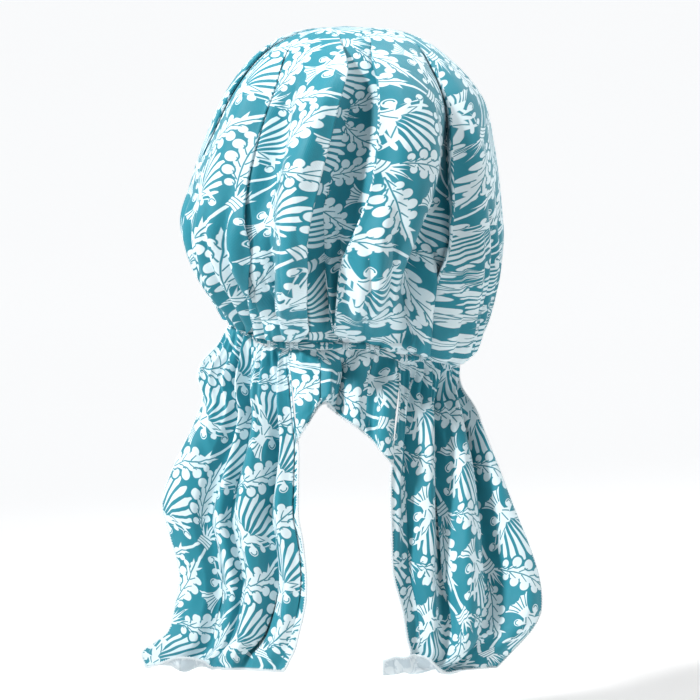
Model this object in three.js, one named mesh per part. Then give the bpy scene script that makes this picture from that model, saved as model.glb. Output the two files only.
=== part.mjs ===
// A pre-tied head scarf: a full crown drawn in at the nape by an elastic band,
// with a short gathered ruffle and two wide pleated tails below the band.
// Millimetres, +Z up. The back of the head faces -Y and the brow faces +Y.
// The origin is the middle of the head opening, level with the band at the nape.
import * as THREE from "three";

// Driving sizes
const clothWall = 1.4;
const seamGap = 0.35;
const hemGap = 0.85;
const hemWidth = 2.6;
const hemThickness = 2.2;
const bandHeight = 4.5;
const bandThickness = 2.4;

const crownHeight = 217;
const crownLeft = 113;
const crownRight = 110;
const crownBack = 115;
const crownFront = 109;
const crownAxisSetBack = 12;

const openingHalfWidth = 80;
const openingBack = 58;
const browRise = 135;
const leftRimRise = 18;
const rightRimDrop = 9;

const gatherDepth = 2.6;
const gatherPitch = 12;
const sagDrop = 24;

const ruffleHalfAngle = 23;
const ruffleDrop = 62;
const ruffleFlare = 16;
const ruffleTaper = 0.16;

const tailDrop = 226;
const leftTailReach = 125;
const leftTailInner = 31;
const rightTailReach = 137;
const rightTailInner = 33;
const tailStandOff = 92;
const leftEarAngle = -84;
const rightEarAngle = 81;

const crownSteps = 15;
const tailColumns = 22;
const tailSteps = 18;
const ruffleColumns = 28;
const ruffleSteps = 6;

// Meridian of the crown: run goes from its top to the rim, the levels are shares
// of the height above the rim, and the rest are shares of the crown's reaches.
const crownRows = [
  { run: 0.0, level: 1.0, brow: 1.0, left: 0.0, right: 0.0, back: 0.0, front: 0.0 },
  { run: 0.1, level: 0.98, brow: 0.976, left: 0.3, right: 0.38, back: 0.35, front: 0.33 },
  { run: 0.22, level: 0.906, brow: 0.878, left: 0.54, right: 0.64, back: 0.62, front: 0.6 },
  { run: 0.36, level: 0.775, brow: 0.707, left: 0.73, right: 0.87, back: 0.83, front: 0.8 },
  { run: 0.5, level: 0.614, brow: 0.512, left: 0.86, right: 0.95, back: 0.95, front: 0.91 },
  { run: 0.64, level: 0.452, brow: 0.329, left: 0.955, right: 0.99, back: 1.0, front: 0.965 },
  { run: 0.76, level: 0.314, brow: 0.195, left: 1.0, right: 1.0, back: 0.99, front: 0.99 },
  { run: 0.88, level: 0.162, brow: 0.085, left: 0.9, right: 0.94, back: 0.87, front: 1.0 },
];

// Folds of the crown: the angle of each from the centre back, in degrees, at four
// stations down the run, its rise in millimetres out of the cloth, its reach to
// either side in degrees, and the shares of the run where it starts and is full.
const foldStations = [0.3, 0.6, 0.8, 1.0];
const crownFolds = [
  { name: "left shoulder ridge", at: [-50, -54, -54, -58], rise: 4, left: 16, right: 8, from: 0.1, full: 0.4 },
  { name: "left valley", at: [-30, -34, -33, -37], rise: -6, left: 9, right: 10, from: 0.22, full: 0.5 },
  { name: "left strip", at: [-8, -18, -20, -27], rise: 7, left: 9, right: 5, from: 0.2, full: 0.45 },
  { name: "tucked pleat", at: [-13, -13, -9, -4], rise: 4, left: 4, right: 4, from: 0.62, full: 0.75 },
  { name: "centre recess", at: [7, 1, -4, -2], rise: -9, left: 13, right: 11, from: 0.25, full: 0.5 },
  { name: "right panel", at: [25, 20, 10, 4], rise: 8, left: 6, right: 18, from: 0.2, full: 0.5 },
  { name: "right hollow", at: [49, 44, 31, 20], rise: -10, left: 11, right: 9, from: 0.25, full: 0.6 },
  { name: "right bulge", at: [62, 56, 49, 47], rise: 6, left: 7, right: 20, from: 0.3, full: 0.6 },
  { name: "left tuck", at: [-60, -55, -47, -24], rise: -5, left: 6, right: 6, from: 0.84, full: 0.95 },
];

// Pleats of a hanging panel: across is its place from the outer edge to the inner
// one at the band and at the hem, width its reach as a share of the panel, and
// rise its height at the band and at the hem, in millimetres.
const leftPleats = [
  { name: "ear pouch", top: 0.14, hem: 0.1, width: 0.17, riseTop: 9, riseHem: 2 },
  { name: "pouch valley", top: 0.34, hem: 0.27, width: 0.09, riseTop: -6, riseHem: -3 },
  { name: "middle ridge", top: 0.44, hem: 0.42, width: 0.07, riseTop: 4, riseHem: 2 },
  { name: "middle valley", top: 0.52, hem: 0.5, width: 0.06, riseTop: -4, riseHem: -2 },
  { name: "broad ridge", top: 0.66, hem: 0.62, width: 0.13, riseTop: 8, riseHem: 9 },
  { name: "deep crease", top: 0.8, hem: 0.76, width: 0.06, riseTop: -6, riseHem: -7 },
  { name: "narrow ridge", top: 0.87, hem: 0.9, width: 0.06, riseTop: 4, riseHem: 3 },
];
const rightPleats = [
  { name: "outer ridge", top: 0.1, hem: 0.12, width: 0.14, riseTop: 6, riseHem: 8 },
  { name: "long valley", top: 0.26, hem: 0.33, width: 0.1, riseTop: -7, riseHem: -10 },
  { name: "long ridge", top: 0.38, hem: 0.48, width: 0.11, riseTop: 6, riseHem: 7 },
  { name: "middle valley", top: 0.55, hem: 0.66, width: 0.1, riseTop: -4, riseHem: -3 },
  { name: "inner ridge", top: 0.7, hem: 0.84, width: 0.12, riseTop: 6, riseHem: 3 },
  { name: "inner valley", top: 0.86, hem: 0.95, width: 0.07, riseTop: -3, riseHem: -2 },
];
const rufflePleats = [
  { name: "left leaf", top: 0.14, hem: 0.14, width: 0.12, riseTop: 3, riseHem: 8 },
  { name: "centre leaf", top: 0.4, hem: 0.26, width: 0.12, riseTop: 3, riseHem: 9 },
  { name: "dark gap", top: 0.5, hem: 0.42, width: 0.1, riseTop: -4, riseHem: -9 },
  { name: "right leaf", top: 0.64, hem: 0.6, width: 0.15, riseTop: 4, riseHem: 9 },
  { name: "loop valley", top: 0.8, hem: 0.78, width: 0.07, riseTop: -2, riseHem: -6 },
  { name: "loop fold", top: 0.88, hem: 0.88, width: 0.1, riseTop: 3, riseHem: 8 },
];

// Outline of each tail: down is the share of its drop, outer and inner are shares
// of its reach and of its inner edge's distance from the centre plane, and the two
// depths are shares of how far the hanging cloth stands off behind the opening.
const leftRows = [
  { down: 0.0, outer: 0.7, inner: 1.16, outerDepth: 0.2, innerDepth: 0.76 },
  { down: 0.13, outer: 0.81, inner: 1.16, outerDepth: 0.3, innerDepth: 0.87 },
  { down: 0.28, outer: 0.8, inner: 1.06, outerDepth: 0.42, innerDepth: 0.94 },
  { down: 0.45, outer: 0.88, inner: 1.04, outerDepth: 0.5, innerDepth: 0.97 },
  { down: 0.6, outer: 0.97, inner: 1.1, outerDepth: 0.55, innerDepth: 1.0 },
  { down: 0.7, outer: 1.0, inner: 0.98, outerDepth: 0.58, innerDepth: 1.02 },
  { down: 0.8, outer: 0.94, inner: 0.9, outerDepth: 0.62, innerDepth: 1.04 },
  { down: 0.89, outer: 0.91, inner: 0.87, outerDepth: 0.66, innerDepth: 1.05 },
  { down: 0.96, outer: 0.97, inner: 0.98, outerDepth: 0.7, innerDepth: 1.06 },
  { down: 1.0, outer: 1.12, inner: 1.2, outerDepth: 0.72, innerDepth: 1.06 },
];
const rightRows = [
  { down: 0.0, outer: 0.56, inner: 1.1, outerDepth: 0.25, innerDepth: 0.78 },
  { down: 0.13, outer: 0.62, inner: 1.1, outerDepth: 0.36, innerDepth: 0.87 },
  { down: 0.28, outer: 0.7, inner: 0.98, outerDepth: 0.46, innerDepth: 0.94 },
  { down: 0.45, outer: 0.79, inner: 0.96, outerDepth: 0.56, innerDepth: 0.98 },
  { down: 0.6, outer: 0.87, inner: 1.0, outerDepth: 0.64, innerDepth: 1.02 },
  { down: 0.75, outer: 0.95, inner: 1.02, outerDepth: 0.7, innerDepth: 1.05 },
  { down: 0.86, outer: 1.0, inner: 1.3, outerDepth: 0.76, innerDepth: 1.08 },
  { down: 0.94, outer: 0.95, inner: 1.05, outerDepth: 0.82, innerDepth: 1.12 },
  { down: 1.0, outer: 0.84, inner: 0.82, outerDepth: 0.88, innerDepth: 1.16 },
];
const ruffleRows = [
  { across: 0.0, drop: 1.0 },
  { across: 0.14, drop: 0.86 },
  { across: 0.34, drop: 0.64 },
  { across: 0.5, drop: 0.78 },
  { across: 0.75, drop: 0.96 },
  { across: 1.0, drop: 1.1 },
];

// Turned-up hems of the tails: radius and turn of the curl across the panel.
const leftCurl = [
  { across: 0.0, radius: 2, turn: 20 },
  { across: 0.2, radius: 6, turn: 110 },
  { across: 0.4, radius: 6, turn: 120 },
  { across: 0.6, radius: 3, turn: 40 },
  { across: 1.0, radius: 2, turn: 10 },
];
const rightCurl = [
  { across: 0.0, radius: 4, turn: 10 },
  { across: 0.25, radius: 6, turn: 40 },
  { across: 0.5, radius: 8, turn: 100 },
  { across: 0.75, radius: 9.5, turn: 145 },
  { across: 1.0, radius: 9, turn: 140 },
];
const curlShare = 0.13;
const curlCalm = 0.6;

const radians = THREE.MathUtils.degToRad;
const clamp = THREE.MathUtils.clamp;
const lerp = THREE.MathUtils.lerp;
const smooth = (low, high, x) => THREE.MathUtils.smoothstep(x, low, high);

// A column of a table, read by a smooth curve through its rows.
function read(table, along, column, at) {
  const last = table.length - 1;
  let row = 0;
  while (row < last - 1 && at > table[row + 1][along]) row += 1;
  const slope = (k) => {
    const a = table[Math.max(k - 1, 0)];
    const b = table[Math.min(k + 1, last)];
    return (b[column] - a[column]) / (b[along] - a[along]);
  };
  const [a, b] = [table[row], table[row + 1]];
  const length = b[along] - a[along];
  const u = clamp((at - a[along]) / length, 0, 1);
  const rise = u * u * (3 - 2 * u);
  return (
    lerp(a[column], b[column], rise) +
    length * (slope(row) * u * (1 - u) * (1 - u) - slope(row + 1) * u * u * (1 - u))
  );
}

// A rounded bump, 1 at its middle and 0 from its reach on.
function bump(distance, reach) {
  const share = Math.min(Math.abs(distance) / reach, 1);
  return (1 - share * share) ** 2;
}

function stationAngle(fold, run) {
  const table = foldStations.map((station, k) => ({ run: station, angle: fold.at[k] }));
  return read(table, "run", "angle", run);
}

// Share of the way from the ears to the brow, for an angle from the centre back.
function browShare(angle) {
  const forward = Math.max(-Math.cos(radians(angle)), 0);
  return forward ** 1.2;
}

// Height of the opening's rim: the band at the nape, then up past the ears.
function rimLevel(angle) {
  const turned = Math.abs(angle) > 180 ? angle - 360 * Math.sign(angle) : angle;
  const left = leftRimRise * smooth(30, 90, -turned);
  const right = -rightRimDrop * smooth(8, 32, turned) * (1 - smooth(60, 100, turned));
  return lerp(left + right, browRise, browShare(angle));
}

function rimPoint(angle, outward = 0) {
  const sine = Math.sin(radians(angle));
  const cosine = Math.cos(radians(angle));
  const reach = cosine > 0 ? openingBack : crownFront;
  return new THREE.Vector3(
    (openingHalfWidth + outward) * sine,
    -crownAxisSetBack - (reach + outward) * cosine,
    rimLevel(angle),
  );
}

// The crown's rim closes around the outside of the band.
const outsideBand = bandThickness / 2 + clothWall + seamGap;

const crownTable = [
  ...crownRows,
  {
    run: 1,
    level: 0,
    brow: 0,
    left: (openingHalfWidth + outsideBand) / crownLeft,
    right: (openingHalfWidth + outsideBand) / crownRight,
    back: (openingBack + outsideBand) / crownBack,
    front: 1,
  },
];

function plainCrown(angle, run) {
  const sine = Math.sin(radians(angle));
  const cosine = Math.cos(radians(angle));
  const column = (name) => read(crownTable, "run", name, run);
  const across = sine > 0 ? crownRight * column("right") : crownLeft * column("left");
  const along = cosine > 0 ? crownBack * column("back") : crownFront * column("front");
  const level = lerp(column("level"), column("brow"), browShare(angle));
  const rim = rimLevel(angle);
  const sag = sagDrop * bump(angle - 50, 42) * bump(run - 0.93, 0.07);
  return new THREE.Vector3(
    across * sine,
    -crownAxisSetBack - along * cosine,
    rim + (crownHeight - rim) * level - sag,
  );
}

function foldHeight(angle, run) {
  let height = 0;
  for (const fold of crownFolds) {
    const offset = angle - stationAngle(fold, run);
    const narrowing = 1 - 0.45 * smooth(0.75, 1, run);
    const reach = (offset < 0 ? fold.left : fold.right) * narrowing;
    const growth = smooth(fold.from, fold.full, run) * (1 - smooth(0.86, 1, run));
    height += fold.rise * bump(offset, reach) * growth;
  }
  const atNape = 1 - smooth(70, 95, Math.abs(angle));
  const ripple = Math.cos((2 * Math.PI * angle) / gatherPitch + 0.8 * Math.sin(radians(angle) * 5));
  const crest = ripple + smooth(0.88, 1, run);
  return height + gatherDepth * crest * atNape * smooth(0.72, 0.98, run);
}

// The outward side of a surface whose first value runs to the right and whose
// second runs down.
function outwardNormal(surface, a, b, stepA, stepB) {
  const across = surface(a + stepA, b).sub(surface(a - stepA, b));
  const down = surface(a, b + stepB).sub(surface(a, b - stepB));
  return down.cross(across).normalize();
}

function crownSurface(angle, run) {
  const inside = clamp(run, 0.03, 0.97);
  const normal = outwardNormal(plainCrown, angle, inside, 0.5, 0.02);
  normal.z *= 1 - smooth(0.85, 0.98, run);
  return plainCrown(angle, run).addScaledVector(normal, foldHeight(angle, run));
}

// Hanging panels

function pleatHeight(pleats, across, down) {
  let height = 0;
  for (const pleat of pleats) {
    const middle = lerp(pleat.top, pleat.hem, down);
    const rise = lerp(pleat.riseTop, pleat.riseHem, down);
    height += rise * bump(across - middle, pleat.width * (1 + 0.35 * down));
  }
  const calmed = 1 - curlCalm * smooth(1 - curlShare, 1, down);
  return height * calmed * smooth(-0.04, 0.16, down);
}

const innerEdgeAngle =
  ruffleHalfAngle +
  THREE.MathUtils.radToDeg((hemWidth + 3 * hemGap) / (openingBack + crownAxisSetBack));

const belowBand = bandHeight + 2 * seamGap;

const leftTail = {
  side: -1,
  reach: leftTailReach,
  innerReach: leftTailInner,
  earAngle: leftEarAngle,
  bandAngle: -innerEdgeAngle,
  rows: leftRows,
  pleats: leftPleats,
  curl: leftCurl,
};
const rightTail = {
  side: 1,
  reach: rightTailReach,
  innerReach: rightTailInner,
  earAngle: rightEarAngle,
  bandAngle: innerEdgeAngle,
  rows: rightRows,
  pleats: rightPleats,
  curl: rightCurl,
};

// A tail without its pleats: it leaves the band along the opening, hangs to the
// turn of its hem, and there curls back and up. across runs from the outer edge.
function plainTail(tail, across, down) {
  const top = rimPoint(lerp(tail.earAngle, tail.bandAngle, across));
  top.z -= belowBand;
  const column = (name) => read(tail.rows, "down", name, down);
  const curl = (name) => read(tail.curl, "across", name, clamp(across, 0, 1));
  const length = curlShare * tailDrop;
  const radius = curl("radius");
  const turn = Math.min(radians(curl("turn")), length / radius);
  const straight = length - radius * turn;
  const dip = straight + radius * Math.sin(Math.min(turn, Math.PI / 2));
  const started = Math.max(down - 1 + curlShare, 0) * tailDrop;
  const turned = Math.max(started - straight, 0) / radius;
  const fall = Math.min(down / (1 - curlShare), 1);
  const hang = new THREE.Vector3(
    tail.side * lerp(tail.reach * column("outer"), tail.innerReach * column("inner"), across),
    -tailStandOff * lerp(column("outerDepth"), column("innerDepth"), across),
    lerp(top.z, dip - tailDrop, fall),
  );
  const freed = smooth(0, 0.17, down);
  return new THREE.Vector3(
    lerp(top.x, hang.x, freed),
    lerp(top.y, hang.y, freed) - radius * (1 - Math.cos(turned)),
    hang.z - Math.min(started, straight) - radius * Math.sin(turned),
  );
}

function tailSurface(tail) {
  const plain = (across, down) => plainTail(tail, across, down);
  return (across, down) => {
    const normal = outwardNormal(plain, across, clamp(down, 0.02, 0.98), 0.01, 0.01);
    normal.multiplyScalar(-tail.side);
    normal.z *= smooth(0.05, 0.2, down);
    return plain(across, down).addScaledVector(normal, pleatHeight(tail.pleats, across, down));
  };
}

function plainRuffle(across, down) {
  const point = rimPoint(lerp(-ruffleHalfAngle, ruffleHalfAngle, across));
  const drop = ruffleDrop * read(ruffleRows, "across", "drop", clamp(across, 0, 1));
  const edge = smooth(0.32, 0.5, Math.abs(across - 0.5));
  point.x *= 1 - ruffleTaper * smooth(0, 0.5, down);
  point.y -= ruffleFlare * down ** 1.3 * (1 - edge);
  point.z -= belowBand + drop * down;
  return point;
}

function ruffleSurface(across, down) {
  const normal = outwardNormal(plainRuffle, across, clamp(down, 0.02, 0.98), 0.01, 0.01);
  normal.z = 0;
  return plainRuffle(across, down).addScaledVector(
    normal,
    pleatHeight(rufflePleats, across, down),
  );
}

// Solids

function geometryOf(points, triangles) {
  const geometry = new THREE.BufferGeometry();
  geometry.setAttribute(
    "position",
    new THREE.Float32BufferAttribute(points.flatMap((point) => point.toArray()), 3),
  );
  geometry.setIndex(triangles.flat());
  geometry.computeVertexNormals();
  return geometry;
}

// A wall of cloth under an outer skin of triangles, closed along its free edges.
function clothSolid(points, triangles) {
  const skin = geometryOf(points, triangles);
  const normals = skin.getAttribute("normal");
  const inner = points.map((point, k) =>
    point.clone().addScaledVector(new THREE.Vector3().fromBufferAttribute(normals, k), -clothWall),
  );
  const count = points.length;
  const faces = [...triangles, ...triangles.map(([a, b, c]) => [a + count, c + count, b + count])];
  const edges = new Set();
  for (const [a, b, c] of triangles) {
    for (const [p, q] of [[a, b], [b, c], [c, a]]) edges.add(p + "," + q);
  }
  for (const edge of edges) {
    const [p, q] = edge.split(",").map(Number);
    if (edges.has(q + "," + p)) continue;
    faces.push([q, p, p + count], [q, p + count, q + count]);
  }
  return geometryOf([...points, ...inner], faces);
}

function panelSolid(surface, acrosses, downs) {
  const points = acrosses.flatMap((across) => downs.map((down) => surface(across, down)));
  const at = (column, row) => column * downs.length + row;
  const triangles = [];
  for (let i = 0; i < acrosses.length - 1; i += 1) {
    for (let j = 0; j < downs.length - 1; j += 1) {
      triangles.push([at(i, j), at(i, j + 1), at(i + 1, j)]);
      triangles.push([at(i + 1, j), at(i, j + 1), at(i + 1, j + 1)]);
    }
  }
  return clothSolid(points, triangles);
}

function crownSolid(angles, runs) {
  const points = [crownSurface(0, 0)];
  for (const angle of angles) {
    for (const run of runs) points.push(crownSurface(angle, run));
  }
  const at = (column, row) => 1 + (column % angles.length) * runs.length + row;
  const triangles = [];
  for (let i = 0; i < angles.length; i += 1) {
    triangles.push([0, at(i, 0), at(i + 1, 0)]);
    for (let j = 0; j < runs.length - 1; j += 1) {
      triangles.push([at(i, j), at(i, j + 1), at(i + 1, j)]);
      triangles.push([at(i + 1, j), at(i, j + 1), at(i + 1, j + 1)]);
    }
  }
  return clothSolid(points, triangles);
}

// A strip along a list of places, each with the middle of its section, the
// direction of its width and the direction of its thickness.
function stripSolid(places, width, thickness) {
  const corners = [[-1, 1], [1, 1], [1, -1], [-1, -1]];
  const points = places.flatMap(({ middle, outward, normal }) =>
    corners.map(([u, v]) =>
      middle
        .clone()
        .addScaledVector(outward, (u * width) / 2)
        .addScaledVector(normal, (v * thickness) / 2),
    ),
  );
  const triangles = [];
  for (let k = 0; k < places.length - 1; k += 1) {
    for (let c = 0; c < 4; c += 1) {
      const [a, b] = [4 * k + c, 4 * k + ((c + 1) % 4)];
      triangles.push([a, b, a + 4], [b, b + 4, a + 4]);
    }
  }
  const last = 4 * (places.length - 1);
  triangles.push([0, 2, 1], [0, 3, 2], [last, last + 1, last + 2], [last, last + 2, last + 3]);
  return geometryOf(points, triangles);
}

// The place of a hem beside the edge point (a, b) of a surface: outA and outB say
// which way is off the edge, and turn is 1 or -1 for the surface's outer side.
function hemPlace(surface, a, b, outA, outB, turn) {
  const edge = surface(a, b);
  const step = 0.02;
  const outward = new THREE.Vector3();
  for (const [u, v] of [[outA, 0], [0, outB]]) {
    if (u === 0 && v === 0) continue;
    outward.add(edge.clone().sub(surface(a - u * step, b - v * step)).normalize());
  }
  if (outA === 0 || outB === 0) {
    const [u, v] = outA === 0 ? [step / 2, 0] : [0, step / 2];
    const along = surface(a + u, b + v).sub(surface(a - u, b - v)).normalize();
    outward.addScaledVector(along, -outward.dot(along));
  }
  outward.normalize();
  const insideA = a - outA * step;
  const insideB = b - outB * step;
  const normal = outwardNormal(surface, insideA, insideB, step / 2, step / 2).multiplyScalar(turn);
  normal.addScaledVector(outward, -normal.dot(outward)).normalize();
  const middle = edge
    .clone()
    .addScaledVector(outward, hemGap + hemWidth / 2)
    .addScaledVector(normal, -clothWall / 2);
  return { middle, outward, normal };
}

function evenly(steps, low = 0, high = 1) {
  return Array.from({ length: steps + 1 }, (_, k) => lerp(low, high, k / steps));
}

const crownAngles = [...evenly(60, -90, 90), ...evenly(24, 90, 270).slice(1, -1)];
const crownRuns = evenly(crownSteps).slice(1);
const tailAcross = evenly(tailColumns);
const curlSteps = 6;
const tailDowns = [
  ...evenly(tailSteps - curlSteps, 0, 1 - curlShare),
  ...evenly(curlSteps, 1 - curlShare, 1).slice(1),
];
const ruffleAcross = evenly(ruffleColumns);
const ruffleDowns = evenly(ruffleSteps);

function bandSolid() {
  const places = crownAngles
    .filter((angle) => angle >= leftEarAngle && angle <= rightEarAngle)
    .map((angle) => {
      const middle = rimPoint(angle);
      const normal = rimPoint(angle, 1).sub(middle).normalize();
      middle.z -= seamGap + bandHeight / 2;
      return { middle, outward: new THREE.Vector3(0, 0, -1), normal };
    });
  return stripSolid(places, bandHeight, bandThickness);
}

function browHemSolid() {
  const places = crownAngles
    .filter((angle) => angle > rightEarAngle + 2 && angle < 360 + leftEarAngle - 2)
    .map((angle) => hemPlace(crownSurface, angle, 1, 0, 1, 1));
  return stripSolid(places, hemWidth, hemThickness);
}

// The hem runs down a tail's outer edge, along its foot and up its inner edge.
function tailHemSolid(tail) {
  const surface = tailSurface(tail);
  const turn = -tail.side;
  const hung = tailDowns.filter((down) => down > 0.02 && down < 1);
  const places = [
    ...hung.map((down) => hemPlace(surface, 0, down, -1, 0, turn)),
    hemPlace(surface, 0, 1, -1, 1, turn),
    ...tailAcross.slice(1, -1).map((across) => hemPlace(surface, across, 1, 0, 1, turn)),
    hemPlace(surface, 1, 1, 1, 1, turn),
    ...hung.reverse().map((down) => hemPlace(surface, 1, down, 1, 0, turn)),
  ];
  return stripSolid(tail.side < 0 ? places : places.reverse(), hemWidth, hemThickness);
}

function ruffleHemSolid() {
  const places = ruffleAcross.map((across) => hemPlace(ruffleSurface, across, 1, 0, 1, 1));
  return stripSolid(places, hemWidth, hemThickness);
}

function tailSolid(tail) {
  const across = tail.side < 0 ? tailAcross : [...tailAcross].reverse();
  return panelSolid(tailSurface(tail), across, tailDowns);
}

const cloth = new THREE.MeshStandardMaterial({ color: 0x2b8493, roughness: 0.62, metalness: 0 });
const hemThread = new THREE.MeshStandardMaterial({ color: 0xe4ecee, roughness: 0.8, metalness: 0 });
const bandCloth = new THREE.MeshStandardMaterial({ color: 0x1f6373, roughness: 0.7, metalness: 0 });

const scarf = new THREE.Group();
function add(name, geometry, material) {
  const mesh = new THREE.Mesh(geometry, material);
  mesh.name = name;
  scarf.add(mesh);
}

add("crown", crownSolid(crownAngles, crownRuns), cloth);
add("nape_band", bandSolid(), bandCloth);
add("nape_ruffle", panelSolid(ruffleSurface, ruffleAcross, ruffleDowns), cloth);
add("left_tail", tailSolid(leftTail), cloth);
add("right_tail", tailSolid(rightTail), cloth);
add("brow_hem", browHemSolid(), hemThread);
add("ruffle_hem", ruffleHemSolid(), hemThread);
add("left_tail_hem", tailHemSolid(leftTail), hemThread);
add("right_tail_hem", tailHemSolid(rightTail), hemThread);

export default scarf;
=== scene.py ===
"""A pre-tied head scarf in printed knit: a full folded crown drawn in by an elastic band
at the nape, a short gathered ruffle below the band and two wide pleated tails."""

import math
from types import SimpleNamespace

import bpy
import numpy as np
from bpy.props import FloatProperty, FloatVectorProperty, IntProperty, PointerProperty
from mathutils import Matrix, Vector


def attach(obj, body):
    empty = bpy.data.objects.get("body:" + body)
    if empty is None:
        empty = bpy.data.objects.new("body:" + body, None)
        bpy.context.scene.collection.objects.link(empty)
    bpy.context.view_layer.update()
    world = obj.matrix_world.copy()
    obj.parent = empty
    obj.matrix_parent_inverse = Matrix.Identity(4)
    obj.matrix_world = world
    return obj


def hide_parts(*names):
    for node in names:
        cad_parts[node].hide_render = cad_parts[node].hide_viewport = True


bl_info = {
    "name": "Pre-tied Head Scarf",
    "version": (1, 0, 0),
    "blender": (4, 5, 0),
    "location": "View3D > Sidebar > Head Scarf",
    "description": "Builds a pre-tied head scarf in printed knit with stitched hems",
    "category": "Add Mesh",
}

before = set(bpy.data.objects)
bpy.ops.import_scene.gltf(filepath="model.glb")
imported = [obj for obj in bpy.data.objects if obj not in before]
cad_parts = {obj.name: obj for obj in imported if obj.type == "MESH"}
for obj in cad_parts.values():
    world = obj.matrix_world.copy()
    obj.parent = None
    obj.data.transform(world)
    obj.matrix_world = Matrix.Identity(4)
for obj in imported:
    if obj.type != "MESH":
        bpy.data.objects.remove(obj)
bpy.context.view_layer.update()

MM = 0.001


# Tables

def columns(names, *rows):
    """A table with named columns, one row for each section or fold."""
    return {name: np.array(values, float) for name, values in zip(names.split(), zip(*rows))}


# Meridian of the crown: run goes from its top to the rim, the levels are shares
# of the height above the rim, and the rest are shares of the crown's reaches.
CROWN_ROWS = (
    "run level brow left right back front",
    (0.0, 1.0, 1.0, 0.0, 0.0, 0.0, 0.0),
    (0.1, 0.98, 0.976, 0.3, 0.38, 0.35, 0.33),
    (0.22, 0.906, 0.878, 0.54, 0.64, 0.62, 0.6),
    (0.36, 0.775, 0.707, 0.73, 0.87, 0.83, 0.8),
    (0.5, 0.614, 0.512, 0.86, 0.95, 0.95, 0.91),
    (0.64, 0.452, 0.329, 0.955, 0.99, 1.0, 0.965),
    (0.76, 0.314, 0.195, 1.0, 1.0, 0.99, 0.99),
    (0.88, 0.162, 0.085, 0.9, 0.94, 0.87, 1.0),
)

# Broad folds of the crown: angle from the centre back at four stations of the run,
# rise in millimetres, reach to either side in degrees, and where each starts.
STATIONS = np.array([0.3, 0.6, 0.8, 1.0])
CROWN_FOLDS = columns(
    "a b c d rise left right start full",
    (-50, -54, -54, -58, 5, 16, 8, 0.1, 0.4),
    (-30, -34, -33, -37, -9, 9, 10, 0.22, 0.5),
    (-8, -18, -20, -27, 8, 9, 5, 0.2, 0.45),
    (-13, -13, -9, -4, 4, 4, 4, 0.62, 0.75),
    (7, 1, -4, -2, -12, 13, 11, 0.25, 0.5),
    (25, 20, 10, 4, 8, 6, 16, 0.2, 0.5),
    (49, 44, 31, 20, -13, 11, 9, 0.25, 0.6),
    (62, 56, 49, 47, 7, 7, 20, 0.3, 0.6),
    (-60, -55, -47, -24, -8, 6, 7, 0.84, 0.95),
    (7, 0, -6, -8, -9, 12, 11, 0.15, 0.35),
    (46, 40, 30, 22, -13, 14, 12, 0.5, 0.75),
    (-31, -30, -29, -36, -8, 11, 9, 0.2, 0.45),
    (33, 30, 20, 10, 4, 9, 12, 0.25, 0.5),
    (0, 0, -4, -6, -9, 22, 18, 0.66, 0.88),
    (30, 28, 24, 20, -7, 16, 18, 0.6, 0.86),
)

# Creases of the crown: angle at the four stations, which side lies on top (1 is the
# right one, -1 the left one, 0 neither), how far its lip stands up and laps over,
# the depth of the groove, the reach of both, all in millimetres, and the shares of
# the run where the crease starts, is full, fades and is gone.
CROWN_CREASES = columns(
    "a b c d top lip lap groove reach start full fade gone",
    (-72, -75, -72, -74, -1, 2.6, 2.0, 1.5, 8, 0.05, 0.16, 0.4, 0.6),
    (-43, -44, -40, -50, -1, 4.5, 4.5, 9.0, 12, 0.16, 0.36, 0.97, 1.01),
    (-5, -13.5, -17, -21.6, -1, 8.5, 8.5, 5.0, 14, 0.12, 0.3, 0.97, 1.01),
    (5, -6, -9, -4, 1, 3.4, 3.0, 3.0, 7, 0.58, 0.72, 0.97, 1.01),
    (19, 13.6, 4, 0.5, 1, 9.0, 8.5, 5.0, 15, 0.12, 0.28, 0.97, 1.01),
    (55, 50, 42, 40, 1, 6.5, 5.5, 11.0, 13, 0.16, 0.34, 0.97, 1.01),
)
CROWN_SPANS = (20, 48, 58, 30, 40, 56, 148)

# Gathers of the crown above the band: waves is half the number of ridges around it,
# which wander by bend, bends times around; a power under 1 rounds the ridges and
# sharpens the valleys.
CROWN_GATHERS = {
    "broad": SimpleNamespace(waves=11, bend=0.9, bends=5, phase=0.5, power=0.8),
    "close": SimpleNamespace(waves=22, bend=1.3, bends=7, phase=0.0, power=0.8),
    "fine": SimpleNamespace(waves=47, bend=1.7, bends=9, phase=0.0, power=1.0),
    "casing": SimpleNamespace(waves=58, bend=1.7, bends=9, phase=0.0, power=0.7),
}

# Small drag lines of the crown: angle and run at both ends, rise and half width in
# millimetres.
CROWN_DRAGS = columns(
    "angle run to_angle to_run rise width",
    (-60, 0.98, -66, 0.62, 2.2, 4.5),
    (-52, 0.98, -57, 0.7, -2.0, 4.0),
    (-33, 0.98, -30, 0.58, 1.8, 4.5),
    (-27, 0.99, -24, 0.66, -1.8, 3.5),
    (-37, 0.9, -36, 0.4, -1.2, 5.0),
    (-10, 0.98, -1, 0.55, 1.3, 3.5),
    (-3, 0.95, 8, 0.5, -1.2, 4.0),
    (9, 0.97, 17, 0.6, 1.6, 4.0),
    (14, 0.98, 24, 0.7, -1.5, 3.5),
    (24, 0.99, 36, 0.72, 2.0, 5.0),
    (31, 0.98, 43, 0.78, -2.0, 4.5),
    (36, 0.99, 52, 0.8, 2.0, 4.0),
    (58, 0.97, 66, 0.68, 1.8, 5.0),
    (70, 0.97, 76, 0.66, -1.6, 5.0),
    (28, 0.4, 30, 0.8, -1.0, 6.0),
    (-75, 0.9, -82, 0.5, -1.6, 6.0),
    (-20, 0.3, -26, 0.8, 1.2, 6.0),
    (62, 0.3, 66, 0.75, -1.2, 7.0),
)

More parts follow.
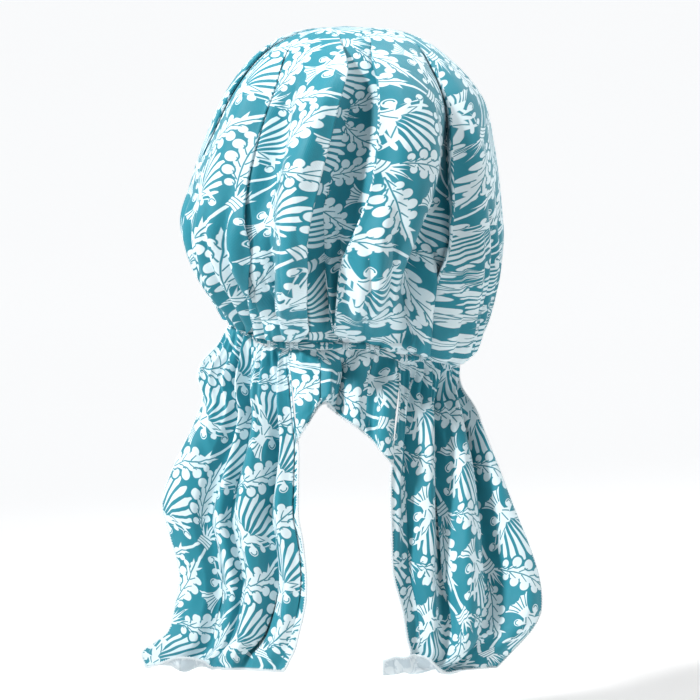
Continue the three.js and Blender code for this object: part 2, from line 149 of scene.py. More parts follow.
# Pleats of the hanging panels: place across at the band and at the hem, reach as a
# share of the panel, and rise at the band and at the hem in millimetres.
LEFT_PLEATS = columns(
    "top hem width rise_top rise_hem",
    (0.13, 0.1, 0.16, 10, 3),
    (0.34, 0.27, 0.07, -10, -5),
    (0.44, 0.42, 0.06, 7, 3),
    (0.52, 0.5, 0.05, -8, -4),
    (0.68, 0.6, 0.12, 11, 10),
    (0.83, 0.7, 0.05, -9, -9),
    (0.89, 0.88, 0.06, 6, 5),
)
RIGHT_PLEATS = columns(
    "top hem width rise_top rise_hem",
    (0.02, 0.14, 0.12, 3, 9),
    (0.0, 0.46, 0.1, -7, -12),
    (0.16, 0.68, 0.12, 9, 9),
    (0.38, 0.82, 0.07, -7, -6),
    (0.56, 0.88, 0.12, 10, 4),
    (0.8, 0.95, 0.07, -8, -3),
)
RUFFLE_PLEATS = columns(
    "top hem width rise_top rise_hem",
    (0.14, 0.14, 0.12, 3, 8),
    (0.4, 0.26, 0.12, 3, 9),
    (0.5, 0.42, 0.1, -4, -9),
    (0.64, 0.6, 0.15, 4, 9),
    (0.8, 0.78, 0.07, -2, -6),
    (0.88, 0.88, 0.1, 3, 8),
)

# Creases of the hanging panels: place across at the band and at the hem, which side
# lies on top (1 is the side of the higher places), and the rest as on the crown.
LEFT_CREASES = columns(
    "top hem side lip lap groove reach start full fade gone",
    (0.345, 0.27, -1, 2.4, 1.8, 3.0, 6, 0.03, 0.12, 0.5, 0.9),
    (0.5, 0.47, 1, 1.8, 1.0, 2.4, 5, 0.02, 0.1, 0.7, 1.0),
    (0.85, 0.68, -1, 3.6, 3.6, 2.6, 6, 0.04, 0.16, 0.9, 1.0),
    (0.94, 0.955, -1, 2.2, 1.6, 2.0, 4, 0.04, 0.16, 0.6, 0.9),
)
LEFT_SPANS = (54, 28, 46, 26, 12)
RIGHT_CREASES = columns(
    "top hem side lip lap groove reach start full fade gone",
    (0.05, 0.58, 1, 3.4, 3.4, 4.0, 7, 0.05, 0.18, 0.92, 1.02),
    (0.4, 0.74, -1, 2.2, 1.6, 2.6, 6, 0.03, 0.14, 0.6, 0.9),
    (0.8, 0.93, 1, 2.2, 1.6, 2.4, 5, 0.04, 0.12, 0.6, 0.9),
)
RIGHT_SPANS = (44, 50, 44, 22)
RUFFLE_CREASES = columns(
    "top hem side lip lap groove reach start full fade gone",
    (0.29, 0.2, -1, 2.4, 1.4, 2.0, 4, 0.05, 0.4, 1.2, 1.4),
    (0.47, 0.4, -1, 3.0, 2.4, 3.0, 5, 0.05, 0.4, 1.2, 1.4),
    (0.74, 0.72, 1, 2.6, 1.6, 2.4, 4, 0.05, 0.4, 1.2, 1.4),
)
RUFFLE_SPANS = (28, 22, 34, 28)

# Drag lines of the hanging panels: across and down at both ends.
LEFT_DRAGS = columns(
    "across down to_across to_down rise width",
    (0.1, 0.02, 0.06, 0.28, 2.0, 4.0),
    (0.22, 0.02, 0.2, 0.3, -2.0, 4.0),
    (0.3, 0.02, 0.27, 0.25, 1.5, 3.5),
    (0.6, 0.02, 0.58, 0.35, 1.2, 4.0),
    (0.72, 0.02, 0.72, 0.5, -1.4, 4.0),
    (0.55, 0.5, 0.48, 0.95, -1.8, 7.0),
    (0.3, 0.5, 0.12, 0.9, -1.6, 9.0),
    (0.05, 0.28, 0.3, 0.42, -1.6, 6.0),
    (0.66, 0.4, 0.6, 0.9, 1.6, 6.0),
    (0.86, 0.3, 0.86, 0.7, 1.0, 4.0),
)
RIGHT_DRAGS = columns(
    "across down to_across to_down rise width",
    (0.08, 0.02, 0.06, 0.3, 1.8, 4.0),
    (0.18, 0.02, 0.2, 0.35, -1.6, 4.0),
    (0.34, 0.02, 0.36, 0.4, 1.4, 4.0),
    (0.46, 0.02, 0.5, 0.4, -1.4, 4.0),
    (0.66, 0.02, 0.7, 0.4, 1.2, 4.0),
    (0.76, 0.3, 0.82, 0.8, -1.4, 7.0),
    (0.5, 0.5, 0.56, 0.95, 1.8, 8.0),
    (0.1, 0.45, 0.12, 0.9, -1.6, 9.0),
    (0.92, 0.1, 0.94, 0.6, 1.2, 4.0),
)

# Outline of each tail: down is the share of its drop, outer and inner are shares
# of its reach and of its inner edge's distance from the centre plane, and the two
# depths are shares of how far the hanging cloth stands off behind the opening.
LEFT_ROWS = columns(
    "down outer inner outer_depth inner_depth",
    (0.0, 0.72, 1.16, 0.2, 0.74),
    (0.1, 0.81, 1.16, 0.28, 0.82),
    (0.16, 0.805, 1.15, 0.33, 0.87),
    (0.22, 0.775, 1.12, 0.36, 0.91),
    (0.3, 0.83, 1.06, 0.42, 0.94),
    (0.42, 0.94, 1.06, 0.48, 0.97),
    (0.52, 1.0, 1.06, 0.52, 0.98),
    (0.6, 0.965, 0.96, 0.55, 1.0),
    (0.72, 0.905, 0.88, 0.58, 1.02),
    (0.8, 0.925, 0.9, 0.62, 1.04),
    (0.89, 0.97, 1.04, 0.66, 1.05),
    (0.925, 1.05, 1.1, 0.68, 1.05),
    (0.95, 1.11, 1.17, 0.7, 1.06),
    (1.0, 1.09, 1.35, 0.72, 1.06),
)
RIGHT_ROWS = columns(
    "down outer inner outer_depth inner_depth",
    (0.0, 0.56, 1.1, 0.25, 0.76),
    (0.1, 0.58, 1.1, 0.33, 0.83),
    (0.2, 0.65, 1.05, 0.4, 0.9),
    (0.35, 0.75, 0.97, 0.5, 0.96),
    (0.49, 0.835, 0.98, 0.58, 0.99),
    (0.64, 0.93, 1.02, 0.66, 1.03),
    (0.74, 0.975, 1.2, 0.7, 1.05),
    (0.83, 0.98, 1.31, 0.75, 1.08),
    (0.885, 0.94, 1.38, 0.78, 1.1),
    (0.92, 0.89, 1.1, 0.81, 1.11),
    (0.945, 0.85, 0.84, 0.83, 1.12),
    (1.0, 0.76, 0.8, 0.88, 1.14),
)
RUFFLE_ROWS = columns(
    "across drop", (0.0, 1.0), (0.12, 0.8), (0.3, 0.56), (0.5, 0.74), (0.75, 0.92), (1.0, 1.1)
)

# Turned-up hems of the tails: radius in millimetres and turn in degrees.
LEFT_CURL = columns(
    "across radius turn flap",
    (0.0, 3, 60, 3),
    (0.12, 4.5, 120, 4),
    (0.28, 5, 160, 5),
    (0.45, 4.5, 130, 3),
    (0.6, 3, 60, 0),
    (1.0, 2, 15, 0),
)
RIGHT_CURL = columns(
    "across radius turn flap",
    (0.0, 4, 10, 0),
    (0.25, 5, 50, 0),
    (0.45, 5, 110, 3),
    (0.6, 5.5, 155, 6),
    (0.85, 5.5, 168, 7),
    (1.0, 5.0, 165, 6),
)
CURL_SHARE = 0.13
CURL_CALM = 0.6

# Shares of the drop where a tail's stitching starts on its outer and inner side, and
# the angle at which the print grows across a tail.
OUTER_HEM_START = 0.02
INNER_HEM_START = 0.27
PRINT_TILT = 60


# Sizes and colours

def length(name, millimetres, description):
    return FloatProperty(
        name=name, description=description, default=millimetres * MM, precision=4, unit="LENGTH"
    )


def colour(name, shade, description):
    return FloatVectorProperty(
        name=name, description=description, default=shade, min=0, max=1, subtype="COLOR"
    )


class ScarfForm(bpy.types.PropertyGroup):
    """Sizes of the scarf."""

    wall: length("Cloth", 1.0, "Thickness of the cloth")
    crown_height: length("Crown Height", 217, "Top of the crown above the band")
    crown_left: length("Crown Left", 113, "Reach of the crown to the left")
    crown_right: length("Crown Right", 110, "Reach of the crown to the right")
    crown_back: length("Crown Back", 115, "Reach of the crown behind its axis")
    crown_front: length("Crown Front", 109, "Reach of the crown before its axis")
    set_back: length("Axis Set-back", 12, "Crown's axis behind the origin")
    opening_half: length("Opening Half Width", 80, "Half the width of the head opening")
    opening_back: length("Opening Back", 58, "Reach of the opening behind the axis")
    brow_rise: length("Brow Rise", 135, "Height of the brow's edge above the band")
    left_rise: length("Left Rim Rise", 18, "Rise of the rim towards the left ear")
    right_drop: length("Right Rim Drop", 9, "Dip of the rim at the right of the nape")
    gather_depth: length("Gather Depth", 8.0, "Height of the gathers at the band")
    sag_drop: length("Sag", 24, "Hang of the cloth over the band at the right")
    band_height: length("Band Height", 4.5, "Height of the elastic band")
    band_thickness: length("Band Thickness", 2.4, "Thickness of the elastic band")
    seam_gap: length("Seam Gap", 0.35, "Gap between the band and the cloth")
    hem_gap: length("Hem Gap", 0.85, "Gap between the cloth's edge and the middle of its stitching")
    hem_width: length("Hem Width", 2.2, "Width of the overlocked edge")
    ruffle_drop: length("Ruffle Drop", 62, "Drop of the ruffle below the band")
    ruffle_flare: length("Ruffle Flare", 16, "How far the ruffle stands out at its hem")
    tail_drop: length("Tail Drop", 222, "Drop of the tails")
    left_reach: length("Left Tail Reach", 125, "Outer reach of the left tail")
    left_inner: length("Left Tail Inner", 31, "Inner edge of the left tail")
    right_reach: length("Right Tail Reach", 137, "Outer reach of the right tail")
    right_inner: length("Right Tail Inner", 33, "Inner edge of the right tail")
    stand_off: length("Tail Stand-off", 92, "How far the tails hang behind the opening")
    thread: length("Thread", 0.5, "Thickness of the overlock thread")
    stitch: length("Stitch", 1.9, "Spacing of the overlock stitches")
    crown_rows: IntProperty(name="Crown Rows", description="Rows of the crown", default=100, min=20)
    panel_rows: IntProperty(name="Panel Rows", description="Rows of a tail", default=190, min=20)


class ScarfLooks(bpy.types.PropertyGroup):
    """Colours of the scarf."""

    ground: colour("Ground", (0.012, 0.26, 0.34), "Ground of the print")
    deep: colour("Deep Ground", (0.006, 0.19, 0.255), "Darker threads of the ground")
    motif: colour("Motif", (0.74, 0.86, 0.9), "Pale figure of the print")
    wrong_side: colour("Wrong Side", (0.5, 0.6, 0.66), "Unprinted side of the cloth")
    thread: colour("Thread", (0.84, 0.88, 0.9), "Overlock thread")
    floor: colour("Floor", (0.83, 0.83, 0.82), "Studio floor")


class ScarfStage(bpy.types.PropertyGroup):
    """Camera and lights."""

    distance: length("Camera Distance", 2500, "From the camera to the scarf")
    view_width: length("View Width", 490, "Width of the picture at the scarf")
    look_x: length("Look X", 3.5, "Middle of the picture, to the right")
    look_z: length("Look Z", -9, "Middle of the picture, up")
    elevation: FloatProperty(
        name="Elevation", description="Camera's height angle", default=math.radians(3.5),
        subtype="ANGLE",
    )
    floor_level: length("Floor", -275, "Level of the studio floor")


def form():
    return bpy.context.scene.scarf_form


def looks():
    return bpy.context.scene.scarf_looks


# Curves and tables

def lerp(a, b, share):
    return a + (b - a) * share


def smooth(low, high, x):
    share = np.clip((x - low) / (high - low), 0, 1)
    return share * share * (3 - 2 * share)


def bump(distance, reach):
    """A rounded bump, 1 at its middle and 0 from its reach on."""
    share = np.minimum(np.abs(distance) / reach, 1)
    return (1 - share * share) ** 2


def read(table, along, column, at):
    """A column of a table, read by a smooth curve through its rows."""
    places = table[along]
    values = table[column]
    last = len(places) - 1
    order = np.arange(last + 1)
    before = np.maximum(order - 1, 0)
    after = np.minimum(order + 1, last)
    slopes = (values[after] - values[before]) / (places[after] - places[before])
    row = np.clip(np.searchsorted(places, at, side="left") - 1, 0, last - 1)
    step = places[row + 1] - places[row]
    u = np.clip((at - places[row]) / step, 0, 1)
    rise = lerp(values[row], values[row + 1], u * u * (3 - 2 * u))
    return rise + step * (slopes[row] * u * (1 - u) ** 2 - slopes[row + 1] * u * u * (1 - u))


def station_angle(table, k, run):
    """Angle of row k of a table of folds, read at the stations of the run."""
    angles = np.array([table[name][k] for name in "abcd"])
    return read({"run": STATIONS, "angle": angles}, "run", "angle", run)


def point(x, y, z):
    return np.stack(np.broadcast_arrays(x, y, z), axis=-1)


def unit(vectors):
    return vectors / np.maximum(np.linalg.norm(vectors, axis=-1, keepdims=True), 1e-12)


def slopes_of(surface, a, b, step_a, step_b):
    """The two directions of a surface: with its first value and with its second."""
    across = surface(a + step_a, b) - surface(a - step_a, b)
    down = surface(a, b + step_b) - surface(a, b - step_b)
    return unit(across), unit(down)


# The crown

def brow_share(angle):
    """Share of the way from the ears to the brow, for an angle from the centre back."""
    return np.maximum(-np.cos(np.radians(angle)), 0) ** 1.2


def rim_level(angle):
    """Height of the opening's rim: the band at the nape, then up past the ears."""
    f = form()
    turned = np.where(angle > 180, angle - 360, angle)
    left = f.left_rise * smooth(30, 90, -turned)
    right = -f.right_drop * smooth(8, 32, turned) * (1 - smooth(60, 100, turned))
    return lerp(left + right, f.brow_rise, brow_share(angle))


def rim_point(angle, outward=0.0):
    f = form()
    sine = np.sin(np.radians(angle))
    cosine = np.cos(np.radians(angle))
    reach = np.where(cosine > 0, f.opening_back, f.crown_front)
    return point(
        (f.opening_half + outward) * sine,
        -f.set_back - (reach + outward) * cosine,
        rim_level(angle),
    )


def crown_table():
    """The crown's rows with the last one, where it closes around the band."""
    f = form()
    outside = f.band_thickness / 2 + 1.4 * MM + f.seam_gap
    rim = (
        1.0,
        0.0,
        0.0,
        (f.opening_half + outside) / f.crown_left,
        (f.opening_half + outside) / f.crown_right,
        (f.opening_back + outside) / f.crown_back,
        1.0,
    )
    return columns(*CROWN_ROWS, rim)


def plain_crown(table, angle, run):
    f = form()
    angle, run = np.broadcast_arrays(angle, run)
    sine = np.sin(np.radians(angle))
    cosine = np.cos(np.radians(angle))

    def column(name):
        return read(table, "run", name, run)

    across = np.where(sine > 0, f.crown_right * column("right"), f.crown_left * column("left"))
    along = np.where(cosine > 0, f.crown_back * column("back"), f.crown_front * column("front"))
    level = lerp(column("level"), column("brow"), brow_share(angle))
    rim = rim_level(angle)
    sag = f.sag_drop * bump(angle - 50, 42) * bump(run - 0.93, 0.07)
    height = rim + (f.crown_height - rim) * level - sag
    return point(across * sine, -f.set_back - along * cosine, height)


def ridges(gather, turned):
    """Height of a row of gathers, from 0 in a valley to 1 on a ridge."""
    wander = gather.bend * np.sin(gather.bends * turned)
    return np.abs(np.cos(gather.waves * turned + wander + gather.phase)) ** gather.power


def fold_height(angle, run):
    """Broad folds of the crown and its gathers at the band, in metres."""
    height = np.zeros(np.broadcast(angle, run).shape)
    for k, rise in enumerate(CROWN_FOLDS["rise"]):
        offset = angle - station_angle(CROWN_FOLDS, k, run)
        reach = np.where(offset < 0, CROWN_FOLDS["left"][k], CROWN_FOLDS["right"][k])
        reach = reach * (1 - 0.45 * smooth(0.75, 1, run))
        growth = smooth(CROWN_FOLDS["start"][k], CROWN_FOLDS["full"][k], run)
        growth = growth * (1 - smooth(0.92, 1, run))
        height += rise * MM * bump(offset, reach) * growth
    turned = np.radians(angle)
    broad = ridges(CROWN_GATHERS["broad"], turned)
    close = ridges(CROWN_GATHERS["close"], turned)
    fine = ridges(CROWN_GATHERS["fine"], turned)
    crest = 0.9 * (broad - 0.6) * smooth(0.5, 0.8, run) * (1 - smooth(0.9, 1, run))
    crest = crest + (close - 0.35) * smooth(0.62, 0.86, run) + 0.35 * smooth(0.9, 1, run)
    at_middle = 1 - smooth(30, 42, np.abs(angle))
    crest = crest + 0.25 * fine * smooth(0.78, 0.92, run) * at_middle
    at_nape = 1 - smooth(70, 95, np.abs(angle))
    return height + form().gather_depth * crest * at_nape


def drag_height(drags, names, a, b, scale):
    """Small drag lines between two places of a surface."""
    height = np.zeros(np.broadcast(a, b).shape)
    a0, b0, a1, b1 = (drags[name] for name in names)
    for k, rise in enumerate(drags["rise"]):
        share = (b - b0[k]) / (b1[k] - b0[k])
        middle = lerp(a0[k], a1[k], share)
        swell = bump(np.clip(share, 0, 1) * 2 - 1, 1)
        height += rise * MM * swell * bump((a - middle) * scale, drags["width"][k] * MM * 1.6)
    return height


# Sheets of cloth

class Sheet:
    """A sheet's grid: places a across and b down, with its panels between creases.

    Every crease is a folded strip of its own: the edge of the side on top laps over
    the other one, rolls under and runs back to the edge that is tucked below it."""

    def __init__(self, lines, spans, downs, gap):
        self.b = downs[None, :]
        parts = []
        panels = []
        last = len(spans) - 1
        for k, span in enumerate(spans):
            share = np.linspace(0, 1, span + 1)[:, None]
            low = lines[k][None, :] + (gap if k > 0 else 0)
            high = lines[k + 1][None, :] - (gap if k < last else 0)
            parts.append(lerp(low, high, share))
            panels.append(np.full(span + 1, k))
        self.a = np.concatenate(parts)
        self.panel = np.concatenate(panels)
        self.lines = lines

    def growth(self, creases, k):
        grown = smooth(creases["start"][k], creases["full"][k], self.b)
        return grown * (1 - smooth(creases["fade"][k], creases["gone"][k], self.b))

    def creased(self, creases, tops, scale):
        """Height and sideways shift at every place, from the creases."""
        height = np.zeros(self.a.shape)
        shift = np.zeros(self.a.shape)
        for k, top in enumerate(tops):
            offset = (self.a - self.lines[k + 1][None, :]) * scale
            side = np.where(self.panel[:, None] > k, 1.0, -1.0)
            reach = creases["reach"][k] * MM
            near = np.exp(-np.abs(offset) / reach)
            over = np.exp(-np.abs(offset) / (0.55 * reach))
            growth = self.growth(creases, k)
            lip = creases["lip"][k] * top * side * near - creases["groove"][k] * over
            height += lip * MM * growth
            shift -= creases["lap"][k] * MM * side * over * growth
        return height, shift

    def fold(self, creases, tops, points, across, normal):
        """Add the rolled strip of each crease between the edges of its two panels.

        Sets strip, true on every column whose faces to the right lie in a strip, walked,
        how far each place of a strip is from its first edge, and source, the panel
        column that each column follows."""
        parts = []
        sources = []
        strips = []
        walked = []
        start = 0
        last_walked = 0.0
        for k in range(len(self.lines) - 1):
            stop = start + int(np.sum(self.panel == k))
            panel_walked = np.zeros(points[start:stop].shape[:2])
            panel_walked[0] = last_walked
            parts.append(points[start:stop])
            sources.append(np.arange(start, stop))
            strips.append(np.zeros(stop - start, bool))
            walked.append(panel_walked)
            if k < len(tops):
                first = points[stop - 1]
                second = points[stop]
                grown = self.growth(creases, k)[0]
                radius = min(ROLL, 0.5 * creases["lip"][k]) * MM
                strip = rolled(first, second, across[stop - 1], normal[stop - 1], -tops[k],
                               radius * grown, smooth(0, 0.35, grown))
                parts.append(strip)
                sources.append(np.full(len(strip), stop - 1))
                strips[-1][-1] = True
                strips.append(np.ones(len(strip), bool))
                path = np.concatenate([first[None], strip, second[None]])
                lengths = np.cumsum(np.linalg.norm(np.diff(path, axis=0), axis=-1), axis=0)
                walked.append(lengths[:-1])
                last_walked = lengths[-1]
            start = stop
        self.strip = np.concatenate(strips)
        self.walked = np.concatenate(walked)
        self.source = np.concatenate(sources)
        return np.concatenate(parts)


# The roll of a crease's edge: its radius in millimetres and, in radii, how far its
# path reaches past the edge and below it. The edge tucked under rolls more tightly.
ROLL = 1.1
ROLL_PATH = [(0.7, 0.3), (1.0, 1.0), (0.7, 1.7)]
TUCKED_ROLL = 0.4
STRIP_WALL = 0.3


def rolled(first, second, across, normal, over, radius, share):
    """The strip between two edges of a crease; over is 1 where the first lies on top."""
    count = 2 * len(ROLL_PATH) + 1
    shares = (np.arange(count) + 1) / (count + 1)
    straight = lerp(first[None], second[None], shares[:, None, None])
    near = (radius * (1.0 if over > 0 else TUCKED_ROLL))[:, None]
    far = (radius * (TUCKED_ROLL if over > 0 else 1.0))[:, None]
    under = normal * over
    path = [first + across * u * near - under * v * near for u, v in ROLL_PATH]
    back = [second - across * u * far + under * v * far for u, v in ROLL_PATH]
    path = np.stack(path + [(path[-1] + back[-1]) / 2] + back[::-1])
    return lerp(straight, path, share[None, :, None])


def grid_normals(points, closed):
    """Normals of a grid of points, right of it and down it being its two directions."""
    if closed:
        around = np.concatenate([points[-1:], points, points[:1]])
        across = around[2:] - around[:-2]
    else:
        across = np.gradient(points, axis=0)
    down = np.gradient(points, axis=1)
    return unit(np.cross(down, across))


def along_grid(points, axis, start):
    """Distance along the rows or columns of a grid, 0 at the index start."""
    steps = np.linalg.norm(np.diff(points, axis=axis), axis=-1)
    walked = np.cumsum(steps, axis=axis)
    zero = np.zeros_like(np.take(walked, [0], axis=axis))
    walked = np.concatenate([zero, walked], axis=axis)
    return walked - np.take(walked, [start], axis=axis)


def cloth_mesh(name, points, strip, flat, materials, closed=False, turn=1.0, cap=None):
    """A sheet of cloth with its thickness: the printed side, the wrong side and the rim.

    points is the grid of the printed side, strip marks the columns folded away in a
    crease, flat gives the place of each on the flat cloth for the face to its left and
    to its right, and cap is a last point that closes the top of a round sheet."""
    f = form()
    count, rows = points.shape[:2]
    normals = grid_normals(points, closed) * turn
    inner = points - normals * (f.wall * np.where(strip, STRIP_WALL, 1.0))[:, None, None]
    outer_list = points.reshape(-1, 3)
    inner_list = inner.reshape(-1, 3)
    vertices = [outer_list, inner_list]
    total = count * rows
    if cap is not None:
        vertices += [cap[None, :], cap[None, :] - np.array([[0, 0, f.wall]])]
    vertices = np.concatenate(vertices)
    columns_used = count if closed else count - 1
    i, j = np.meshgrid(np.arange(columns_used), np.arange(rows - 1), indexing="ij")
    i, j = i.ravel(), j.ravel()
    nxt = (i + 1) % count
    quads = np.stack([i * rows + j, i * rows + j + 1, nxt * rows + j + 1, nxt * rows + j], axis=1)
    right = np.stack([i, i, i, i], axis=1)
    if turn < 0:
        quads = quads[:, ::-1]
        right = right[:, ::-1]
    faces = [quads, quads[:, ::-1] + total]
    slots = [np.zeros(len(quads), int), np.ones(len(quads), int)]
    owner = [right, right[:, ::-1]]

    def rim(edge_a, edge_b, column):
        strip = np.stack([edge_a, edge_b, edge_b + total, edge_a + total], axis=1)
        if turn < 0:
            strip = strip[:, ::-1]
        faces.append(strip)
        slots.append(np.zeros(len(strip), int))
        owner.append(np.repeat(column[:, None], 4, axis=1))

    across = np.arange(columns_used)
    following = (across + 1) % count
    if cap is None:
        rim(following * rows, across * rows, across)
    rim(across * rows + rows - 1, following * rows + rows - 1, across)
    if not closed:
        down = np.arange(rows - 1)
        rim(down, down + 1, np.zeros(rows - 1, int))
        last = (count - 1) * rows
        rim(last + down + 1, last + down, np.full(rows - 1, count - 2))
    faces = np.concatenate(faces)
    slots = np.concatenate(slots)
    owner = np.concatenate(owner)
    polygons = [tuple(q) for q in faces.tolist()]
    if cap is not None:
        tip = 2 * total
        for k in range(count):
            after = (k + 1) % count
            polygons.append((tip, k * rows, after * rows))
            polygons.append((tip + 1, after * rows + total, k * rows + total))
    mesh = bpy.data.meshes.new(name)
    mesh.from_pydata(vertices.tolist(), [], polygons)
    ring = np.tile([0, 1], count) if cap is not None else np.zeros(0, int)
    mesh.polygons.foreach_set("material_index", np.concatenate([slots, ring]).astype(np.int32))
    mesh.polygons.foreach_set("use_smooth", np.ones(len(polygons), bool))
    layer = mesh.uv_layers.new(name="Flat")
    column = (faces % total) // rows
    row = (faces % total) % rows
    places = flat(owner, column, row).reshape(-1, 2)
    if cap is not None:
        column = np.repeat(np.arange(count), 2)
        after = (column + 1) % count
        corners = np.zeros((2 * count, 3, 2))
        corners[0::2, 1] = flat(column[0::2], column[0::2], 0)
        corners[0::2, 2] = flat(column[0::2], after[0::2], 0)
        corners[1::2, 1] = corners[0::2, 2]
        corners[1::2, 2] = corners[0::2, 1]
        places = np.concatenate([places, corners.reshape(-1, 2)])
    layer.data.foreach_set("uv", places.astype(np.float32).ravel())
    mesh.validate(clean_customdata=False)
    piece = bpy.data.objects.new(name, mesh)
    bpy.context.scene.collection.objects.link(piece)
    for material in materials:
        mesh.materials.append(material)
    return piece


def crown_points():
    """The crown's printed side, and where each place lies on the flat cloth."""
    f = form()
    table = crown_table()
    runs = np.linspace(0, 1, f.crown_rows + 1)[1:]
    lines = [np.full(runs.shape, -92.0)]
    lines += [station_angle(CROWN_CREASES, k, runs) for k in range(len(CROWN_CREASES["a"]))]
    lines += [np.full(runs.shape, 268.0)]
    sheet = Sheet(lines, CROWN_SPANS, runs, 0.16)
    per_degree = math.pi / 180 * f.crown_left
    spread = per_degree * np.minimum(1, 0.35 + runs * 2)[None, :]
    height, shift = sheet.creased(CROWN_CREASES, CROWN_CREASES["top"], spread)
    height += fold_height(sheet.a, sheet.b)
    height += drag_height(
        CROWN_DRAGS, ("angle", "run", "to_angle", "to_run"), sheet.a, sheet.b, per_degree
    )

    def plain(angle, run):
        return plain_crown(table, angle, run)

    inside = np.clip(sheet.b, 0.03, 0.97)
    across, down = slopes_of(plain, sheet.a, np.broadcast_to(inside, sheet.a.shape), 0.5, 0.02)
    normal = np.cross(down, across)
    normal[..., 2] *= 1 - smooth(0.85, 0.98, sheet.b)
    bare = plain(sheet.a, np.broadcast_to(sheet.b, sheet.a.shape))
    points = bare + normal * height[..., None] + across * shift[..., None]
    points = sheet.fold(CROWN_CREASES, CROWN_CREASES["top"], points, across, normal)

    rho = along_grid(bare, 1, 0) + np.linalg.norm(bare[:, :1] - plain(0, 0), axis=-1)
    radius = np.linalg.norm((bare - plain(0, 0))[..., :2], axis=-1)
    stretch = np.minimum(radius / np.maximum(rho, 1e-6), 1)
    middles = np.array([(low + high) / 2 for low, high in zip(lines, lines[1:])])

    def flat(owner, column, row):
        panel = sheet.panel[sheet.source[owner]]
        middle = middles[panel, row]
        top = middles[panel, 0]
        place = sheet.source[column]
        angle = sheet.a[place, row]
        wrapped = (panel == len(middles) - 1) & (angle < -80)
        angle = np.where(wrapped, angle + 360, angle)
        reach = rho[place, row]
        psi = np.radians(top + (angle - middle) * stretch[place, row])
        psi = psi + np.where(sheet.strip[owner], sheet.walked[column, row] / reach, 0)
        return np.stack([reach * np.sin(psi), -reach * np.cos(psi)], axis=-1)

    return points, sheet.strip, plain(0, 0), flat


# Hanging panels

# Where the hanging panels leave the band, in degrees from the centre back, how far the
# ruffle's sides run over the tails and come in, and the panels' widths in millimetres.
RUFFLE_ANGLE = 23
RUFFLE_OVERLAP = 1.24
RUFFLE_TAPER = 0.13
RUFFLE_FORWARD = 27
RUFFLE_WIDTH = 66
RUFFLE_GRID = 80
TAIL_WIDTH = 115
LEFT_EAR = -84
RIGHT_EAR = 81


def inner_angle():
    """Where a tail's inner edge starts on the band, beside the ruffle."""
    f = form()
    return RUFFLE_ANGLE + math.degrees((f.hem_width + 3 * f.hem_gap) / (f.opening_back + f.set_back))


def left_tail_panel():
    f = form()
    return SimpleNamespace(
        side=-1, ear=LEFT_EAR, inner=-inner_angle(), reach=f.left_reach,
        inner_reach=f.left_inner, rows=LEFT_ROWS, pleats=LEFT_PLEATS, curl=LEFT_CURL,
        creases=LEFT_CREASES, spans=LEFT_SPANS, drags=LEFT_DRAGS,
    )


def right_tail_panel():
    f = form()
    return SimpleNamespace(
        side=1, ear=RIGHT_EAR, inner=inner_angle(), reach=f.right_reach,
        inner_reach=f.right_inner, rows=RIGHT_ROWS, pleats=RIGHT_PLEATS, curl=RIGHT_CURL,
        creases=RIGHT_CREASES, spans=RIGHT_SPANS, drags=RIGHT_DRAGS,
    )


def ruffle_panel():
    return SimpleNamespace(
        side=-1, pleats=RUFFLE_PLEATS, creases=RUFFLE_CREASES, spans=RUFFLE_SPANS, drags=None
    )


def below_band():
    f = form()
    return f.band_height + 2 * f.seam_gap


def pleat_height(pleats, across, down):
    height = np.zeros(np.broadcast(across, down).shape)
    for k, width in enumerate(pleats["width"]):
        middle = lerp(pleats["top"][k], pleats["hem"][k], down)
        rise = lerp(pleats["rise_top"][k], pleats["rise_hem"][k], down) * MM
        height += rise * bump(across - middle, width * (1 + 0.35 * down))
    calmed = 1 - CURL_CALM * smooth(1 - CURL_SHARE, 1, down)
    return height * calmed * smooth(-0.04, 0.16, down)


def gather_height(across, down, width):
    """Close gathers where a panel leaves the band, gone a third of the way down."""
    place = across * width / MM
    ripple = np.cos(place / 1.65 + 1.1 * np.sin(place / 7.0)) + 0.45 * np.cos(place / 0.83 + 2)
    fade = (1 - smooth(0.02, 0.34, down)) * smooth(-0.03, 0.05, down)
    return 1.5 * MM * (ripple + 0.5) * fade


def plain_tail(tail, across, down):
    """A tail without its pleats, from the band to the turn of its hem and up again."""
    f = form()
    across, down = np.broadcast_arrays(across, down)
    top = rim_point(lerp(tail.ear, tail.inner, across))
    top_z = top[..., 2] - below_band()
    inside = np.clip(across, 0, 1)
    span = CURL_SHARE * f.tail_drop
    radius = read(tail.curl, "across", "radius", inside) * MM
    flap = read(tail.curl, "across", "flap", inside) * MM
    turn = np.radians(read(tail.curl, "across", "turn", inside))
    turn = np.minimum(turn, (span - flap) / radius)
    straight = span - flap - radius * turn
    dip = straight + radius * np.sin(np.minimum(turn, math.pi / 2))
    started = np.maximum(down - 1 + CURL_SHARE, 0) * f.tail_drop
    turned = np.minimum(np.maximum(started - straight, 0) / radius, turn)
    beyond = np.maximum(started - straight - radius * turn, 0)
    fall = np.minimum(down / (1 - CURL_SHARE), 1)
    outer = tail.reach * read(tail.rows, "down", "outer", down)
    inner = tail.inner_reach * read(tail.rows, "down", "inner", down)
    outer_depth = read(tail.rows, "down", "outer_depth", down)
    inner_depth = read(tail.rows, "down", "inner_depth", down)
    freed = smooth(0, 0.17, down)
    x = lerp(top[..., 0], tail.side * lerp(outer, inner, across), freed)
    y = lerp(top[..., 1], -f.stand_off * lerp(outer_depth, inner_depth, across), freed)
    z = lerp(top_z, dip - f.tail_drop, fall)
    return point(
        x,
        y - radius * (1 - np.cos(turned)) - beyond * np.sin(turned),
        z - np.minimum(started, straight) - radius * np.sin(turned) - beyond * np.cos(turned),
    )


